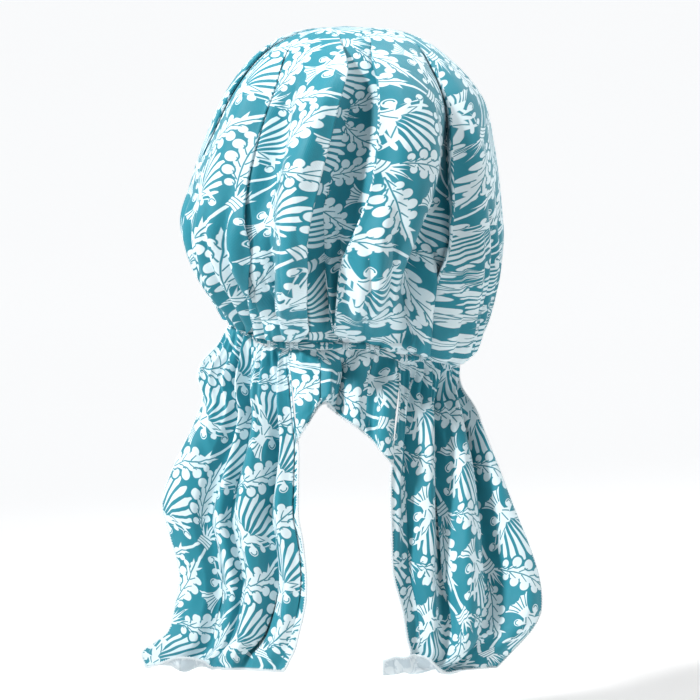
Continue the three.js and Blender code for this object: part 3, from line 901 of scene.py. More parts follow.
def plain_ruffle(across, down):
    """The ruffle before its pleats: its sides come forward to the tails' inner edges."""
    f = form()
    across, down = np.broadcast_arrays(across, down)
    top = rim_point(lerp(-RUFFLE_ANGLE, RUFFLE_ANGLE, across) * RUFFLE_OVERLAP)
    drop = f.ruffle_drop * read(RUFFLE_ROWS, "across", "drop", np.clip(across, 0, 1))
    side = smooth(0.12, 0.5, np.abs(across - 0.5))
    x = top[..., 0] * (1 - RUFFLE_TAPER * smooth(0, 0.8, down))
    forward = lerp(f.ruffle_flare * down ** 1.3, RUFFLE_FORWARD * MM * smooth(0, 0.8, down), side)
    return point(x, top[..., 1] - forward, top[..., 2] - below_band() - drop * down)


def hung_points(plain, panel, downs, width, upright):
    """The printed side of a hanging panel, with its pleats, creases and drag lines."""
    creases = panel.creases
    lines = [np.zeros(downs.shape)]
    lines += [lerp(a, b, downs) for a, b in zip(creases["top"], creases["hem"])]
    lines += [np.ones(downs.shape)]
    sheet = Sheet(lines, panel.spans, downs, 0.3 * MM / width)
    height, shift = sheet.creased(creases, creases["side"], width)
    height = height + pleat_height(panel.pleats, sheet.a, sheet.b)
    height = height + gather_height(sheet.a, sheet.b, width)
    if panel.drags is not None:
        names = ("across", "down", "to_across", "to_down")
        height += drag_height(panel.drags, names, sheet.a, sheet.b, width)
    inside = np.broadcast_to(np.clip(sheet.b, 0.02, 0.98), sheet.a.shape)
    across, down = slopes_of(plain, sheet.a, inside, 0.01, 0.01)
    normal = np.cross(down, across) * -panel.side
    normal[..., 2] *= upright(sheet.b)
    near_edge = bump(sheet.a * width, 5 * MM) + bump((1 - sheet.a) * width, 5 * MM)
    shift = shift * (1 - np.minimum(near_edge, 1))
    bare = plain(sheet.a, np.broadcast_to(sheet.b, sheet.a.shape))
    points = bare + normal * height[..., None] + across * shift[..., None]
    return sheet.fold(creases, creases["side"], points, across, normal), sheet.strip


def flat_places(points, growth, mirror, offset):
    """Places on the flat cloth of a hanging panel, whose print grows at the angle growth."""
    middle = points.shape[0] // 2
    across = along_grid(points, 0, middle) * mirror
    down = -along_grid(points, 1, 0)
    cosine = math.cos(math.radians(growth))
    sine = math.sin(math.radians(growth))
    u = across * cosine + down * sine + offset[0]
    v = down * cosine - across * sine + offset[1]

    def flat(owner, column, row):
        return np.stack([u[column, row], v[column, row]], axis=-1)

    return flat


# Shaders

class Link:
    """An output socket in a material's nodes. Arithmetic on it adds the Math nodes."""

    def __init__(self, socket):
        self.socket = socket

    @classmethod
    def make(cls, tree, kind, settings=None, sockets=None, output=0):
        """A node of any kind: its settings first, then the values or links of its sockets."""
        node = tree.nodes.new(kind)
        for name, value in (settings or {}).items():
            if name == "stops":
                ramp = node.color_ramp
                while len(ramp.elements) < len(value):
                    ramp.elements.new(0.5)
                for element, (place, shade) in zip(ramp.elements, value):
                    element.position = place
                    element.color = (*shade, 1)
            else:
                setattr(node, name, value)
        for name, value in (sockets or {}).items():
            if isinstance(value, Link):
                tree.links.new(value.socket, node.inputs[name])
            else:
                node.inputs[name].default_value = value
        return cls(node.outputs[output])

    def node(self, kind, settings=None, sockets=None, output=0):
        return Link.make(self.socket.id_data, kind, settings, sockets, output)

    def math(self, operation, *values, clamp=False):
        settings = {"operation": operation, "use_clamp": clamp}
        return self.node("ShaderNodeMath", settings, dict(enumerate((self, *values))))

    def vector(self, operation, *values, output=0):
        settings = {"operation": operation}
        return self.node("ShaderNodeVectorMath", settings, dict(enumerate((self, *values))), output)

    def __add__(self, other):
        return self.math("ADD", other)

    def __sub__(self, other):
        return self.math("SUBTRACT", other)

    def __rsub__(self, other):
        return self.node("ShaderNodeMath", {"operation": "SUBTRACT"}, {0: other, 1: self})

    def __mul__(self, other):
        return self.math("MULTIPLY", other)

    def __truediv__(self, other):
        return self.math("DIVIDE", other)

    def __neg__(self):
        return self.math("MULTIPLY", -1.0)

    def __abs__(self):
        return self.math("ABSOLUTE")

    __radd__ = __add__
    __rmul__ = __mul__

    def min(self, other):
        return self.math("MINIMUM", other)

    def max(self, other):
        return self.math("MAXIMUM", other)

    def times_plus(self, factor, rest):
        return self.math("MULTIPLY_ADD", factor, rest)

    def between(self, low, high):
        """0 below low, 1 above high and a smooth step between."""
        sockets = {"Value": self, "From Min": low, "From Max": high}
        return self.node("ShaderNodeMapRange", {"interpolation_type": "SMOOTHSTEP"}, sockets)

    def mix(self, first, second):
        """Colours mixed by this factor."""
        settings = {"data_type": "RGBA"}
        sockets = {0: self, 6: first, 7: second}
        return self.node("ShaderNodeMix", settings, sockets, output=2)


class Place:
    """A place on the flat cloth, in millimetres, with its x and y."""

    def __init__(self, x, y):
        self.x = x
        self.y = y
        self.both = x.node("ShaderNodeCombineXYZ", None, {"X": x, "Y": y})

    def distance(self, other):
        if not isinstance(other, Link):
            other = (other[0], other[1], 0)
        return self.both.vector("DISTANCE", other, output=1)

    def dot(self, direction):
        return self.both.vector("DOT_PRODUCT", (direction[0], direction[1], 0), output=1)


# The damask print, drawn with distances in millimetres: below 0 is inside a figure.
# A repeat is 60 wide and 140 tall, mirrored about its axis and set half a drop down
# beside the next one.
REPEAT_WIDTH = 60.0
REPEAT_HEIGHT = 140.0

PALM_HOOK = (8.4, 49.6, 3.5)
PALM_CURL = (19.6, 62.0, 3.1)
PALM_CIRCLES = [PALM_HOOK, (0, 55, 4.4), (13.0, 56.6, 2.6), PALM_CURL]
PALM_BARS = [
    (0, 47, 0, 57, 2.4, 2.8),
    (3, 53.5, 8, 51.5, 1.8, 1.6),
    (3, 55.5, 11, 58.4, 2.0, 1.4),
    (4, 57.5, 12.5, 65.4, 2.2, 1.7),
    (12.5, 65.4, 19.2, 64.0, 1.7, 1.4),
]
PALM_VEINS = [
    (1.5, 50, 4.6, 53.4, 0.42, 0.42),
    (0, 51, 0, 58, 0.4, 0.4),
    (5.0, 60.5, 12.0, 63.2, 0.35, 0.35),
]
BELL_LINES = (0.0, 0.36, 0.72)
FAN_Y = 47.0
FAN_RAY = 0.172
VOLUTES = [
    (11.5, 4.2, 3.1), (18.3, 6.6, 3.9), (26.0, 7.6, 4.2), (34.0, 6.8, 3.9), (41.2, 4.8, 3.1),
    (13.6, -4.0, 3.0), (20.2, -6.2, 3.8), (28.0, -7.0, 4.0), (35.8, -6.0, 3.5),
]
BODY = [(12, 3.0), (18, 5.0), (25, 6.3), (32, 6.2), (39, 4.8), (45, 3.0)]


def branch_x(y):
    """Middle of the leafy branch beside the axis."""
    return 0.745 * y - 22.0 * (y / 70.0) ** 2


def beside(y, offset):
    """A place beside the branch, offset to its outer side."""
    slope = 0.745 - 44.0 * y / 4900.0
    size = math.hypot(1, slope)
    return branch_x(y) + offset / size, y - offset * slope / size


def circle(p, x, y, radius):
    return p.distance((x, y)) - radius


def bar(p, x0, y0, x1, y1, radius0, radius1):
    """Distance to a round-ended bar that tapers from one radius to the other."""
    dx = x1 - x0
    dy = y1 - y0
    square = dx * dx + dy * dy
    share = p.dot((dx / square, dy / square))
    share = share.math("SUBTRACT", (x0 * dx + y0 * dy) / square, clamp=True)
    nearest = share.vector("MULTIPLY_ADD", (dx, dy, 0), (x0, y0, 0))
    away = p.distance(nearest)
    if radius0 == radius1:
        return away - radius0
    return away - share.times_plus(radius1 - radius0, radius0)


def union(shapes):
    whole = shapes[0]
    for shape in shapes[1:]:
        whole = whole.min(shape)
    return whole


def palmette(p):
    """The fan-shaped flower on its bell-shaped foot, and its veins."""
    shape = union([circle(p, *c) for c in PALM_CIRCLES] + [bar(p, *b) for b in PALM_BARS])
    reach = p.distance((0, FAN_Y))
    angle = p.x.math("ARCTAN2", p.y - FAN_Y)
    turn = angle / FAN_RAY
    part = abs(turn - (turn + 0.5).math("FLOOR"))
    rim = part * part * -46.0 + 43.0 - angle * angle * 27.0
    fan = (reach - rim) * 0.55
    fan = fan.max(angle.times_plus(16.0, -14.2))
    gap = 0.62 - (0.5 - part) * FAN_RAY * reach
    fan = fan.max(gap.min(reach - 9.0))
    foot = p.y.math("MULTIPLY_ADD", -1 / 13, 48 / 13, clamp=True)
    width = (foot * foot).times_plus(7.4, 3.6)
    bell = (p.x - width).max(p.y - 52.0) * 0.8
    scallop = (p.x * 1.05).math("SINE")
    bell = bell.max(scallop * 0.8 + 35.0 - p.y)
    lines = union([abs(width.times_plus(-share, p.x)) - 0.42 for share in BELL_LINES])
    lines = lines.max(p.y - 43.5)
    veins = union([bar(p, *b) for b in PALM_VEINS])
    hook_x, hook_y, _ = PALM_HOOK
    hook = abs(p.distance(PALM_HOOK) - 2.1) - 0.42
    hook = hook.max((p.y - hook_y) * 0.8 - (p.x - hook_x))
    curl_x, curl_y, _ = PALM_CURL
    curl = abs(p.distance(PALM_CURL) - 2.0) - 0.4
    curl = curl.max((p.x - curl_x) * 0.8 - (p.y - curl_y) * 0.6)
    return shape.min(fan).min(bell), veins.min(hook).min(curl).min(lines)


def branch(p):
    """The leaves beside the axis, with round lobes, and their veins."""
    parts = [circle(p, branch_x(y), y, r) for y, r in BODY]
    veins = []
    for y, offset, radius in VOLUTES:
        x0, y0 = beside(y, offset)
        parts.append(circle(p, x0, y0, radius))
        root = beside(y - 4.5, offset * 0.12)
        veins.append(bar(p, *root, *beside(y + 0.2, offset * 0.6), 0.42, 0.3))
        outer_x, outer_y = beside(y, offset + 1.0)
        ahead_x, ahead_y = beside(y + 1.0, offset)
        crescent = abs(p.distance((x0, y0)) - (radius - 0.1)) - 0.5
        towards = ((outer_x - ahead_x) * 0.7, (outer_y - ahead_y) * 0.7)
        behind = p.dot(towards) - (x0 * towards[0] + y0 * towards[1] - 0.4)
        veins.append(crescent.max(behind))
    parts.append(bar(p, 1.8, 3.5, branch_x(13), 13, 1.1, 2.4))
    parts.append(bar(p, branch_x(44), 44, branch_x(54) - 2.4, 55.5, 3.0, 0.5))
    parts.append(bar(p, branch_x(42), 42, branch_x(49) - 5.6, 50.5, 2.6, 0.5))
    parts.append(bar(p, branch_x(44), 44, branch_x(50) + 2.2, 51, 2.4, 0.5))
    parts.append(bar(p, 22.4, 43, 25.6, 55, 1.5, 1.5))
    parts.append(bar(p, 25.6, 55, 27.4, 67, 1.5, 1.5))
    parts += [bar(p, 0, 4, 0, 22, 2.6, 0.3), bar(p, 0.5, 5, 4.4, 15, 1.5, 0.3)]
    ribs = [7, 18, 28, 38, 50]
    for low, high in zip(ribs, ribs[1:]):
        veins.append(bar(p, branch_x(low), low, branch_x(high), high, 0.45, 0.4))
    veins.append(bar(p, 0, 6, 0, 16, 0.35, 0.3))
    return union(parts), union(veins)


def collar(x, y):
    """Three curved bands that tie the leaves together."""
    level = y + x * x * 0.035
    inside = (abs(level) - 3.3).max(abs(x) - 4.4)
    return inside.max(0.35 - abs(abs(level) - 1.25))


def damask(x, y):
    """Distance to the print's pale figures, from a place on the flat cloth."""
    low = y - (y / REPEAT_HEIGHT).math("FLOOR") * REPEAT_HEIGHT
    upper = low.math("GREATER_THAN", REPEAT_HEIGHT / 2)
    shifted = x + upper * (REPEAT_WIDTH / 2)
    up = low - upper * (REPEAT_HEIGHT / 2)
    side = abs(shifted - (shifted / REPEAT_WIDTH + 0.5).math("FLOOR") * REPEAT_WIDTH)
    below = up.math("LESS_THAN", 29.0)
    flower_x = side + below * (REPEAT_WIDTH / 2 - side * 2.0)
    flower_y = up + below * (REPEAT_HEIGHT / 2)
    flower, flower_veins = palmette(Place(flower_x, flower_y))
    leaves, leaf_veins = branch(Place(side, up))
    ties = collar(side, up).min(collar(REPEAT_WIDTH / 2 - side, up - REPEAT_HEIGHT / 2))
    flower = (flower + 0.4).max(0.8 - leaves).max(-flower_veins).max(-leaf_veins)
    leaves = (leaves + 0.6).max(-leaf_veins)
    return flower.min(leaves).max(0.8 - ties).min(ties)


def print_group():
    """The print as a group of nodes, from the flat place to the pale figure's mask."""
    tree = bpy.data.node_groups.new("Damask Print", "ShaderNodeTree")
    tree.interface.new_socket("Place", in_out="INPUT", socket_type="NodeSocketVector")
    tree.interface.new_socket("Mask", in_out="OUTPUT", socket_type="NodeSocketFloat")
    place = Link.make(tree, "NodeGroupInput")
    wander = place.node(
        "ShaderNodeTexNoise", {"noise_dimensions": "2D"},
        {"Vector": place, "Scale": 60.0, "Detail": 1.0}, output=1,
    )
    wander = wander.vector("SUBTRACT", (0.5, 0.5, 0.5)).vector("SCALE")
    wander.socket.node.inputs["Scale"].default_value = 1.2
    millimetres = place.vector("MULTIPLY_ADD", (1 / MM, 1 / MM, 0), wander)
    x = millimetres.node("ShaderNodeSeparateXYZ", None, {0: millimetres}, output=1)
    y = millimetres.node("ShaderNodeSeparateXYZ", None, {0: millimetres}, output=0)
    figure = damask(x, y)
    mask = figure.between(0.22, -0.22)
    end = tree.nodes.new("NodeGroupOutput")
    tree.links.new(mask.socket, end.inputs["Mask"])
    return tree


def new_material(name):
    material = bpy.data.materials.new(name)
    material.use_nodes = True
    tree = material.node_tree
    tree.nodes.clear()
    return material, tree


def finish_material(tree, constants, links, normal=None):
    """The Principled shader: constants on its own sockets, links from the nodes."""
    shader = tree.nodes.new("ShaderNodeBsdfPrincipled")
    for name, value in constants.items():
        shader.inputs[name].default_value = value
    for name, link in links.items():
        tree.links.new(link.socket, shader.inputs[name])
    if normal is not None:
        tree.links.new(normal.socket, shader.inputs["Normal"])
    end = tree.nodes.new("ShaderNodeOutputMaterial")
    tree.links.new(shader.outputs["BSDF"], end.inputs["Surface"])


def flat_place(tree):
    return Link.make(tree, "ShaderNodeUVMap", {"uv_map": "Flat"})


def knit_bump(place, strength):
    """Fine knit: columns of stitches 0.9 mm wide, with a little unevenness."""
    wales = place.node(
        "ShaderNodeTexWave",
        {"wave_type": "BANDS", "bands_direction": "X", "wave_profile": "SIN"},
        {"Vector": place, "Scale": 360.0, "Distortion": 1.2, "Detail": 1.0, "Detail Scale": 4.0},
        output=1,
    )
    courses = place.node(
        "ShaderNodeTexWave",
        {"wave_type": "BANDS", "bands_direction": "Y", "wave_profile": "SIN"},
        {"Vector": place, "Scale": 520.0, "Distortion": 1.0, "Detail": 1.0, "Detail Scale": 4.0},
        output=1,
    )
    crumple = place.node(
        "ShaderNodeTexNoise", {"noise_dimensions": "2D"},
        {"Vector": place, "Scale": 55.0, "Detail": 3.0, "Roughness": 0.55},
    )
    height = wales * 0.2 + courses * 0.12 + crumple * 2.2
    return height.node(
        "ShaderNodeBump", None, {"Strength": strength, "Distance": 0.0006, "Height": height}
    )


def wash(place, scale):
    """Slow change of shade over the cloth."""
    return place.node(
        "ShaderNodeTexNoise", {"noise_dimensions": "2D"},
        {"Vector": place, "Scale": scale, "Detail": 2.0},
    )


def printed_cloth(group):
    """Printed side: pale damask on teal, a soft satin knit."""
    look = looks()
    material, tree = new_material("Printed Cloth")
    place = flat_place(tree)
    mask = place.node("ShaderNodeGroup", {"node_tree": group}, {"Place": place})
    shade = wash(place, 14.0)
    ground = shade.mix((*look.deep, 1), (*look.ground, 1))
    paint = (mask * 0.96).mix(ground, (*look.motif, 1))
    rough = 0.5 + shade * 0.12
    constants = {
        "Sheen Weight": 0.25,
        "Sheen Roughness": 0.45,
        "Sheen Tint": (0.75, 0.93, 1.0, 1),
        "Specular IOR Level": 0.42,
    }
    links = {"Base Color": paint, "Roughness": rough}
    finish_material(tree, constants, links, knit_bump(place, 0.5))
    return material


def wrong_side_cloth(group):
    """Wrong side: pale, with a faint ghost of the print."""
    look = looks()
    material, tree = new_material("Wrong Side")
    place = flat_place(tree)
    mask = place.node("ShaderNodeGroup", {"node_tree": group}, {"Place": place})
    ghost = mask * 0.45 + wash(place, 20.0) * 0.2
    paint = ghost.mix((*look.wrong_side, 1), (0.82, 0.88, 0.9, 1))
    constants = {"Sheen Weight": 0.2, "Roughness": 0.75}
    finish_material(tree, constants, {"Base Color": paint}, knit_bump(place, 0.5))
    return material


def thread_material():
    """Overlock thread, twisted and slightly uneven in shade."""
    look = looks()
    material, tree = new_material("Overlock Thread")
    place = Link.make(tree, "ShaderNodeTexCoord", None, None, output=3)
    twist = place.node("ShaderNodeTexNoise", None, {"Vector": place, "Scale": 900.0, "Detail": 2.0})
    paint = twist.mix((0.62, 0.72, 0.76, 1), (*look.thread, 1))
    normal = twist.node(
        "ShaderNodeBump", None, {"Strength": 0.4, "Distance": 0.0003, "Height": twist}
    )
    constants = {"Roughness": 0.7, "Sheen Weight": 0.2}
    finish_material(tree, constants, {"Base Color": paint}, normal)
    return material


def material(name, maker, *values):
    """The material of that name, made the first time it is asked for."""
    found = bpy.data.materials.get(name)
    return found if found else maker(*values)


def damask_group():
    found = bpy.data.node_groups.get("Damask Print")
    return found if found else print_group()


def cloth_materials():
    group = damask_group()
    return (
        material("Printed Cloth", printed_cloth, group),
        material("Wrong Side", wrong_side_cloth, group),
    )


# Hems

def stitched_hem(name, edge, outward, normal, node):
    """An overlocked edge: loops of thread wound around the cloth's edge."""
    f = form()
    steps = np.linalg.norm(np.diff(edge, axis=0), axis=1)
    walked = np.concatenate([[0], np.cumsum(steps)])
    turns = max(int(walked[-1] / f.stitch), 4)
    per_turn = 8
    places = np.linspace(0, walked[-1], turns * per_turn + 1)

    def along(values):
        return np.stack([np.interp(places, walked, values[:, k]) for k in range(3)], axis=1)

    middle = along(edge)
    out = unit(along(outward))
    up = unit(along(normal))
    phase = 2 * math.pi * np.arange(len(places)) / per_turn
    half = f.hem_width / 2
    wound = out * (np.cos(phase) * half)[:, None] + up * (np.sin(phase) * 0.9 * MM)[:, None]
    loops = tube(middle + wound, f.thread * 0.5, 5)
    cord = ribbon(middle, out, up, half * 0.86, 0.62 * MM)
    vertices = np.concatenate([loops[0], cord[0]])
    faces = loops[1] + [tuple(k + len(loops[0]) for k in face) for face in cord[1]]
    mesh = bpy.data.meshes.new(name)
    mesh.from_pydata(vertices.tolist(), [], faces)
    mesh.polygons.foreach_set("use_smooth", np.ones(len(faces), bool))
    mesh.materials.append(material("Overlock Thread", thread_material))
    piece = bpy.data.objects.new(name, mesh)
    bpy.context.scene.collection.objects.link(piece)
    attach(piece, "root")
    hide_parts(node)
    return piece


def tube(path, radius, sides):
    """A closed tube along a path of points."""
    forward = unit(np.gradient(path, axis=0))
    side = unit(np.cross(forward, np.array([0.31, 0.2, 0.93])))
    over = np.cross(side, forward)
    angles = 2 * math.pi * np.arange(sides) / sides
    ring = (
        side[:, None, :] * np.cos(angles)[None, :, None]
        + over[:, None, :] * np.sin(angles)[None, :, None]
    )
    points = path[:, None, :] + ring * radius
    faces = []
    for k in range(len(path) - 1):
        for s in range(sides):
            after = (s + 1) % sides
            low = k * sides
            high = low + sides
            faces.append((low + s, low + after, high + after, high + s))
    faces.append(tuple(range(sides))[::-1])
    faces.append(tuple((len(path) - 1) * sides + s for s in range(sides)))
    return points.reshape(-1, 3), faces


def ribbon(middle, out, up, half_width, half_height):
    """A rounded closed strip, the rolled edge under the loops of thread."""
    sides = 8
    angles = 2 * math.pi * np.arange(sides) / sides
    points = (
        middle[:, None, :]
        + out[:, None, :] * (np.cos(angles) * half_width)[None, :, None]
        + up[:, None, :] * (np.sin(angles) * half_height)[None, :, None]
    )
    faces = []
    for k in range(len(middle) - 1):
        for s in range(sides):
            after = (s + 1) % sides
            low = k * sides
            high = low + sides
            faces.append((low + s, high + s, high + after, low + after))
    faces.append(tuple(range(sides)))
    faces.append(tuple((len(middle) - 1) * sides + s for s in range(sides))[::-1])
    return points.reshape(-1, 3), faces


def edge_of(points, turn, first, last):
    """The free edge of a hanging panel: down its first column, along its foot and up
    its last column, with the direction off the edge and the printed side's normal.

    first and last are the shares of the drop where those two sides start."""
    f = form()
    normals = grid_normals(points, False) * turn
    off_across = unit(np.gradient(points, axis=0))
    off_down = unit(np.gradient(points, axis=1))
    rows = points.shape[1]
    parts = []
    if first is not None:
        side = slice(int(first * rows), -1)
        parts.append((points[0, side], -off_across[0, side], normals[0, side]))
    parts.append((points[:, -1], off_down[:, -1], normals[:, -1]))
    if last is not None:
        side = slice(-2, int(last * rows), -1)
        parts.append((points[-1, side], off_across[-1, side], normals[-1, side]))
    edge, out, up = (np.concatenate([part[k] for part in parts]) for k in range(3))
    out = smoothed(out, 3)
    up = smoothed(up, 3)
    return edge + out * (f.hem_gap * 0.4) - up * (f.wall / 2), out, up


def smoothed(values, times):
    for _ in range(times):
        inner = (values[:-2] + 2 * values[1:-1] + values[2:]) / 4
        values = np.concatenate([values[:1], inner, values[-1:]])
    return unit(values)


# Operators

class SCARF_OT_crown(bpy.types.Operator):
    """Build the folded crown and its stitched brow edge"""

    bl_idname = "scarf.crown"
    bl_label = "Crown"

    def execute(self, context):
        points, strip, top, flat = crown_points()
        crown = cloth_mesh(
            "crown_cloth", points, strip, flat, cloth_materials(), closed=True, cap=top
        )
        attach(crown, "root")
        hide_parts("crown")
        normals = grid_normals(points, True)
        down = unit(np.gradient(points, axis=1))
        angles = np.degrees(np.arctan2(points[:, -1, 0], -points[:, -1, 1] - form().set_back)) % 360
        front = (angles > RIGHT_EAR + 2) & (angles < 360 + LEFT_EAR - 2)
        order = np.where(front)[0]
        order = order[np.argsort(angles[order])]
        up = normals[order, -1]
        out = down[order, -1]
        middle = points[order, -1] + out * (form().hem_gap * 0.4) - up * (form().wall / 2)
        hem = stitched_hem("brow_stitching", middle, smoothed(out, 3), smoothed(up, 3), "brow_hem")
        return {"FINISHED"}


class SCARF_OT_band(bpy.types.Operator):
    """Build the gathered casing of the elastic at the nape"""

    bl_idname = "scarf.band"
    bl_label = "Nape Band"

    def execute(self, context):
        f = form()
        angles = np.linspace(LEFT_EAR, RIGHT_EAR, 900)
        sides = 12
        turns = 2 * math.pi * np.arange(sides) / sides
        middle = rim_point(angles)
        outward = unit(rim_point(angles, MM) - middle)
        middle[:, 2] -= f.seam_gap + f.band_height / 2
        turned = np.radians(angles)
        swell = 0.55 + 0.6 * ridges(CROWN_GATHERS["casing"], turned)
        points = middle[:, None, :] + outward[:, None, :] * (
            np.cos(turns)[None, :, None] * (f.band_thickness * 0.62 * swell)[:, None, None]
        )
        points = points + np.array([0, 0, 1.0]) * (
            np.sin(turns)[None, :, None] * f.band_height * 0.56
        )
        faces = []
        for k in range(len(angles) - 1):
            for s in range(sides):
                after = (s + 1) % sides
                low = k * sides
                faces.append((low + s, low + sides + s, low + sides + after, low + after))
        faces.append(tuple(range(sides)))
        faces.append(tuple((len(angles) - 1) * sides + s for s in range(sides))[::-1])
        mesh = bpy.data.meshes.new("nape_casing")
        mesh.from_pydata(points.reshape(-1, 3).tolist(), [], faces)
        mesh.polygons.foreach_set("use_smooth", np.ones(len(faces), bool))
        layer = mesh.uv_layers.new(name="Flat")
        corners = np.zeros(len(mesh.loops), np.int32)
        mesh.loops.foreach_get("vertex_index", corners)
        around = np.radians(angles)[corners // sides] * 0.2
        over = np.sin(turns)[corners % sides] * f.band_height
        layer.data.foreach_set("uv", np.stack([around, over], axis=1).astype(np.float32).ravel())
        mesh.materials.append(cloth_materials()[0])
        casing = bpy.data.objects.new("nape_casing", mesh)
        bpy.context.scene.collection.objects.link(casing)
        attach(casing, "root")
        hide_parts("nape_band")
        return {"FINISHED"}


class SCARF_OT_ruffle(bpy.types.Operator):
    """Build the short gathered ruffle below the band"""

    bl_idname = "scarf.ruffle"
    bl_label = "Nape Ruffle"

    def execute(self, context):
        downs = np.linspace(0, 1, RUFFLE_GRID)
        points, strip = hung_points(
            plain_ruffle, ruffle_panel(), downs, RUFFLE_WIDTH * MM, lambda down: 0 * down
        )
        flat = flat_places(points, 0, 1, (0.01, 0.02))
        ruffle = cloth_mesh("ruffle_cloth", points, strip, flat, cloth_materials())
        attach(ruffle, "root")
        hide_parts("nape_ruffle")
        middle, out, up = edge_of(points, 1, None, None)
        hem = stitched_hem("ruffle_stitching", middle, out, up, "ruffle_hem")
        return {"FINISHED"}


class SCARF_OT_tails(bpy.types.Operator):
    """Build the two wide pleated tails and their stitched hems"""

    bl_idname = "scarf.tails"
    bl_label = "Tails"

    def execute(self, context):
        downs = np.linspace(0, 1, form().panel_rows)
        width = TAIL_WIDTH * MM
        for name, panel, growth in (
            ("left", left_tail_panel(), PRINT_TILT),
            ("right", right_tail_panel(), -PRINT_TILT),
        ):
            def plain(across, down, panel=panel):
                return plain_tail(panel, across, down)

            points, strip = hung_points(
                plain, panel, downs, width, lambda down: smooth(0.05, 0.2, down)
            )
            turn = -panel.side
            flat = flat_places(points, growth, turn, (0.02 * turn, 0.03))
            tail = cloth_mesh(
                f"{name}_tail_cloth", points, strip, flat, cloth_materials(), turn=turn
            )
            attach(tail, "root")
            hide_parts(f"{name}_tail")
            middle, out, up = edge_of(points, turn, OUTER_HEM_START, INNER_HEM_START)
            hem = stitched_hem(f"{name}_tail_stitching", middle, out, up, f"{name}_tail_hem")
        return {"FINISHED"}


# Lights: place in metres, size in metres and power in watts.
LIGHTS = (
    ("key", (-2.0, -1.3, 2.1), 0.45, 6.6),
    ("fill", (2.3, -1.6, 1.0), 0.8, 0.8),
    ("top", (0.5, 0.3, 2.8), 0.6, 3.8),
    ("rim", (1.2, 1.8, 1.4), 1.2, 0.8),
)
LIGHT_SPREAD = 42
LIGHT_TARGET = (0, -0.03, 0)
FLOOR_RADIUS = 18
FLOOR_RINGS = 72
FLOOR_SIDES = 96


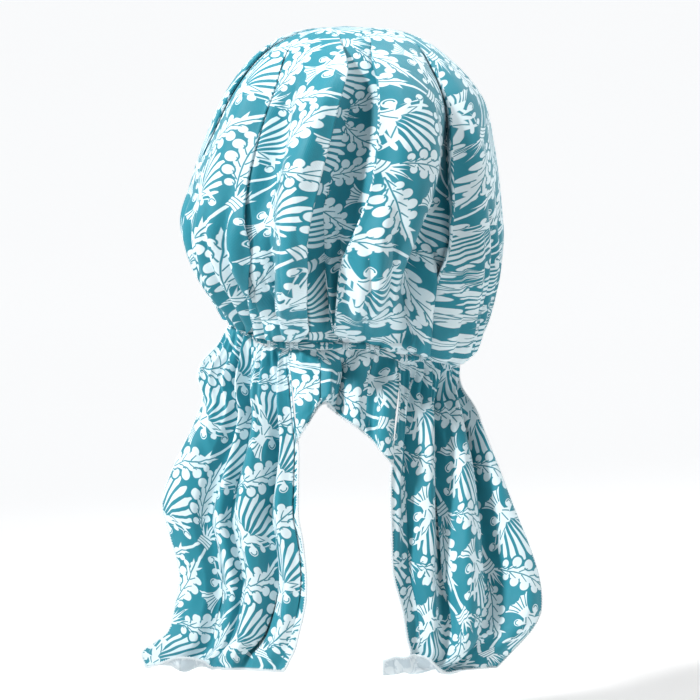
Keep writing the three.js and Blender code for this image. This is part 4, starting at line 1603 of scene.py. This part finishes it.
class SCARF_OT_stage(bpy.types.Operator):
    """Set up the pale floor, the soft studio lights and the camera"""

    bl_idname = "scarf.stage"
    bl_label = "Stage"

    def execute(self, context):
        stage = context.scene.scarf_stage
        self.lay_floor(stage)
        self.hang_lights()
        self.place_camera(stage)
        return {"FINISHED"}

    def lay_floor(self, stage):
        """A wide dish: flat under the scarf and rising far away, so no horizon shows. It
        glows faintly away from the scarf, and more on the side that the scarf faces."""
        rings = columns(
            "radius rise", (0, 0), (1.5, 0), (4, 0), (7, 0.15), (10, 0.7), (14, 2.2), (18, 5.0)
        )
        around = 2 * math.pi * np.arange(FLOOR_SIDES) / FLOOR_SIDES
        radii = np.linspace(0, FLOOR_RADIUS, FLOOR_RINGS + 1)[1:]
        rise = read(rings, "radius", "rise", radii)
        points = [(0, 0, stage.floor_level)]
        for radius, level in zip(radii, rise):
            points += [
                (radius * math.cos(a), radius * math.sin(a), stage.floor_level + level)
                for a in around
            ]
        faces = [(0, 1 + k, 1 + (k + 1) % FLOOR_SIDES) for k in range(FLOOR_SIDES)]
        for ring in range(FLOOR_RINGS - 1):
            low = 1 + ring * FLOOR_SIDES
            high = low + FLOOR_SIDES
            for k in range(FLOOR_SIDES):
                after = (k + 1) % FLOOR_SIDES
                faces.append((low + k, high + k, high + after, low + after))
        mesh = bpy.data.meshes.new("studio_floor")
        mesh.from_pydata(points, [], faces)
        mesh.polygons.foreach_set("use_smooth", np.ones(len(faces), bool))
        paint, tree = new_material("Studio Floor")
        place = Link.make(tree, "ShaderNodeTexCoord", None, None, output=3)
        mottle = place.node("ShaderNodeTexNoise", None, {"Vector": place, "Scale": 3.0})
        shade = mottle.mix((*looks().floor, 1), (0.86, 0.86, 0.86, 1))
        behind = place.node("ShaderNodeSeparateXYZ", None, {0: place}, output=1)
        behind = behind.between(-3.0, 0.5).times_plus(0.55, 0.45)
        far = behind * place.vector("LENGTH", output=1).between(0.1, 1.4)
        glow = far.mix((0, 0, 0, 1), (0.95, 0.96, 0.97, 1))
        constants = {"Roughness": 0.8, "Emission Strength": 0.9}
        finish_material(tree, constants, {"Base Color": shade, "Emission Color": glow})
        mesh.materials.append(paint)
        floor = bpy.data.objects.new("studio_floor", mesh)
        bpy.context.scene.collection.objects.link(floor)

    def hang_lights(self):
        """Soft lamps aimed at the scarf, and a faint even light from all round."""
        for name, place, size, power in LIGHTS:
            light = bpy.data.lights.new(name, "AREA")
            light.shape = "DISK"
            light.size = size
            light.energy = power
            light.spread = math.radians(LIGHT_SPREAD)
            lamp = bpy.data.objects.new(name, light)
            lamp.location = place
            direction = Vector(LIGHT_TARGET) - lamp.location
            lamp.rotation_euler = direction.to_track_quat("-Z", "Y").to_euler()
            bpy.context.scene.collection.objects.link(lamp)
        world = bpy.data.worlds.new("Studio")
        world.use_nodes = True
        sky = world.node_tree.nodes["Background"]
        sky.inputs["Color"].default_value = (0.92, 0.95, 1.0, 1)
        sky.inputs["Strength"].default_value = 0.04
        bpy.context.scene.world = world
        bpy.context.scene.view_settings.view_transform = "Standard"

    def place_camera(self, stage):
        camera = bpy.data.cameras.new("camera")
        camera.sensor_width = 36
        camera.lens = camera.sensor_width * stage.distance / stage.view_width
        camera.clip_end = 100
        holder = bpy.data.objects.new("camera", camera)
        rise = math.sin(stage.elevation) * stage.distance
        back = math.cos(stage.elevation) * stage.distance
        holder.location = (stage.look_x, -form().set_back - back, stage.look_z + rise)
        holder.rotation_euler = (math.pi / 2 - stage.elevation, 0, 0)
        bpy.context.scene.collection.objects.link(holder)
        bpy.context.scene.camera = holder


class SCARF_PT_panel(bpy.types.Panel):
    """Lists the pieces of the scarf and its sizes"""

    bl_idname = "SCARF_PT_panel"
    bl_label = "Head Scarf"
    bl_space_type = "VIEW_3D"
    bl_region_type = "UI"
    bl_category = "Head Scarf"

    def draw(self, context):
        layout = self.layout
        for operator in OPERATORS:
            layout.operator(operator.bl_idname)
        for group in (context.scene.scarf_form, context.scene.scarf_looks, context.scene.scarf_stage):
            box = layout.box()
            for name in group.bl_rna.properties.keys():
                if name not in {"rna_type", "name"}:
                    box.prop(group, name)


OPERATORS = (SCARF_OT_crown, SCARF_OT_band, SCARF_OT_ruffle, SCARF_OT_tails, SCARF_OT_stage)
CLASSES = (ScarfForm, ScarfLooks, ScarfStage, *OPERATORS, SCARF_PT_panel)


def register():
    for cls in CLASSES:
        bpy.utils.register_class(cls)
    bpy.types.Scene.scarf_form = PointerProperty(type=ScarfForm)
    bpy.types.Scene.scarf_looks = PointerProperty(type=ScarfLooks)
    bpy.types.Scene.scarf_stage = PointerProperty(type=ScarfStage)


def unregister():
    del bpy.types.Scene.scarf_stage
    del bpy.types.Scene.scarf_looks
    del bpy.types.Scene.scarf_form
    for cls in reversed(CLASSES):
        bpy.utils.unregister_class(cls)


def main():
    register()
    bpy.ops.scarf.crown()
    bpy.ops.scarf.band()
    bpy.ops.scarf.ruffle()
    bpy.ops.scarf.tails()
    bpy.ops.scarf.stage()


if __name__ == "__main__":
    main()
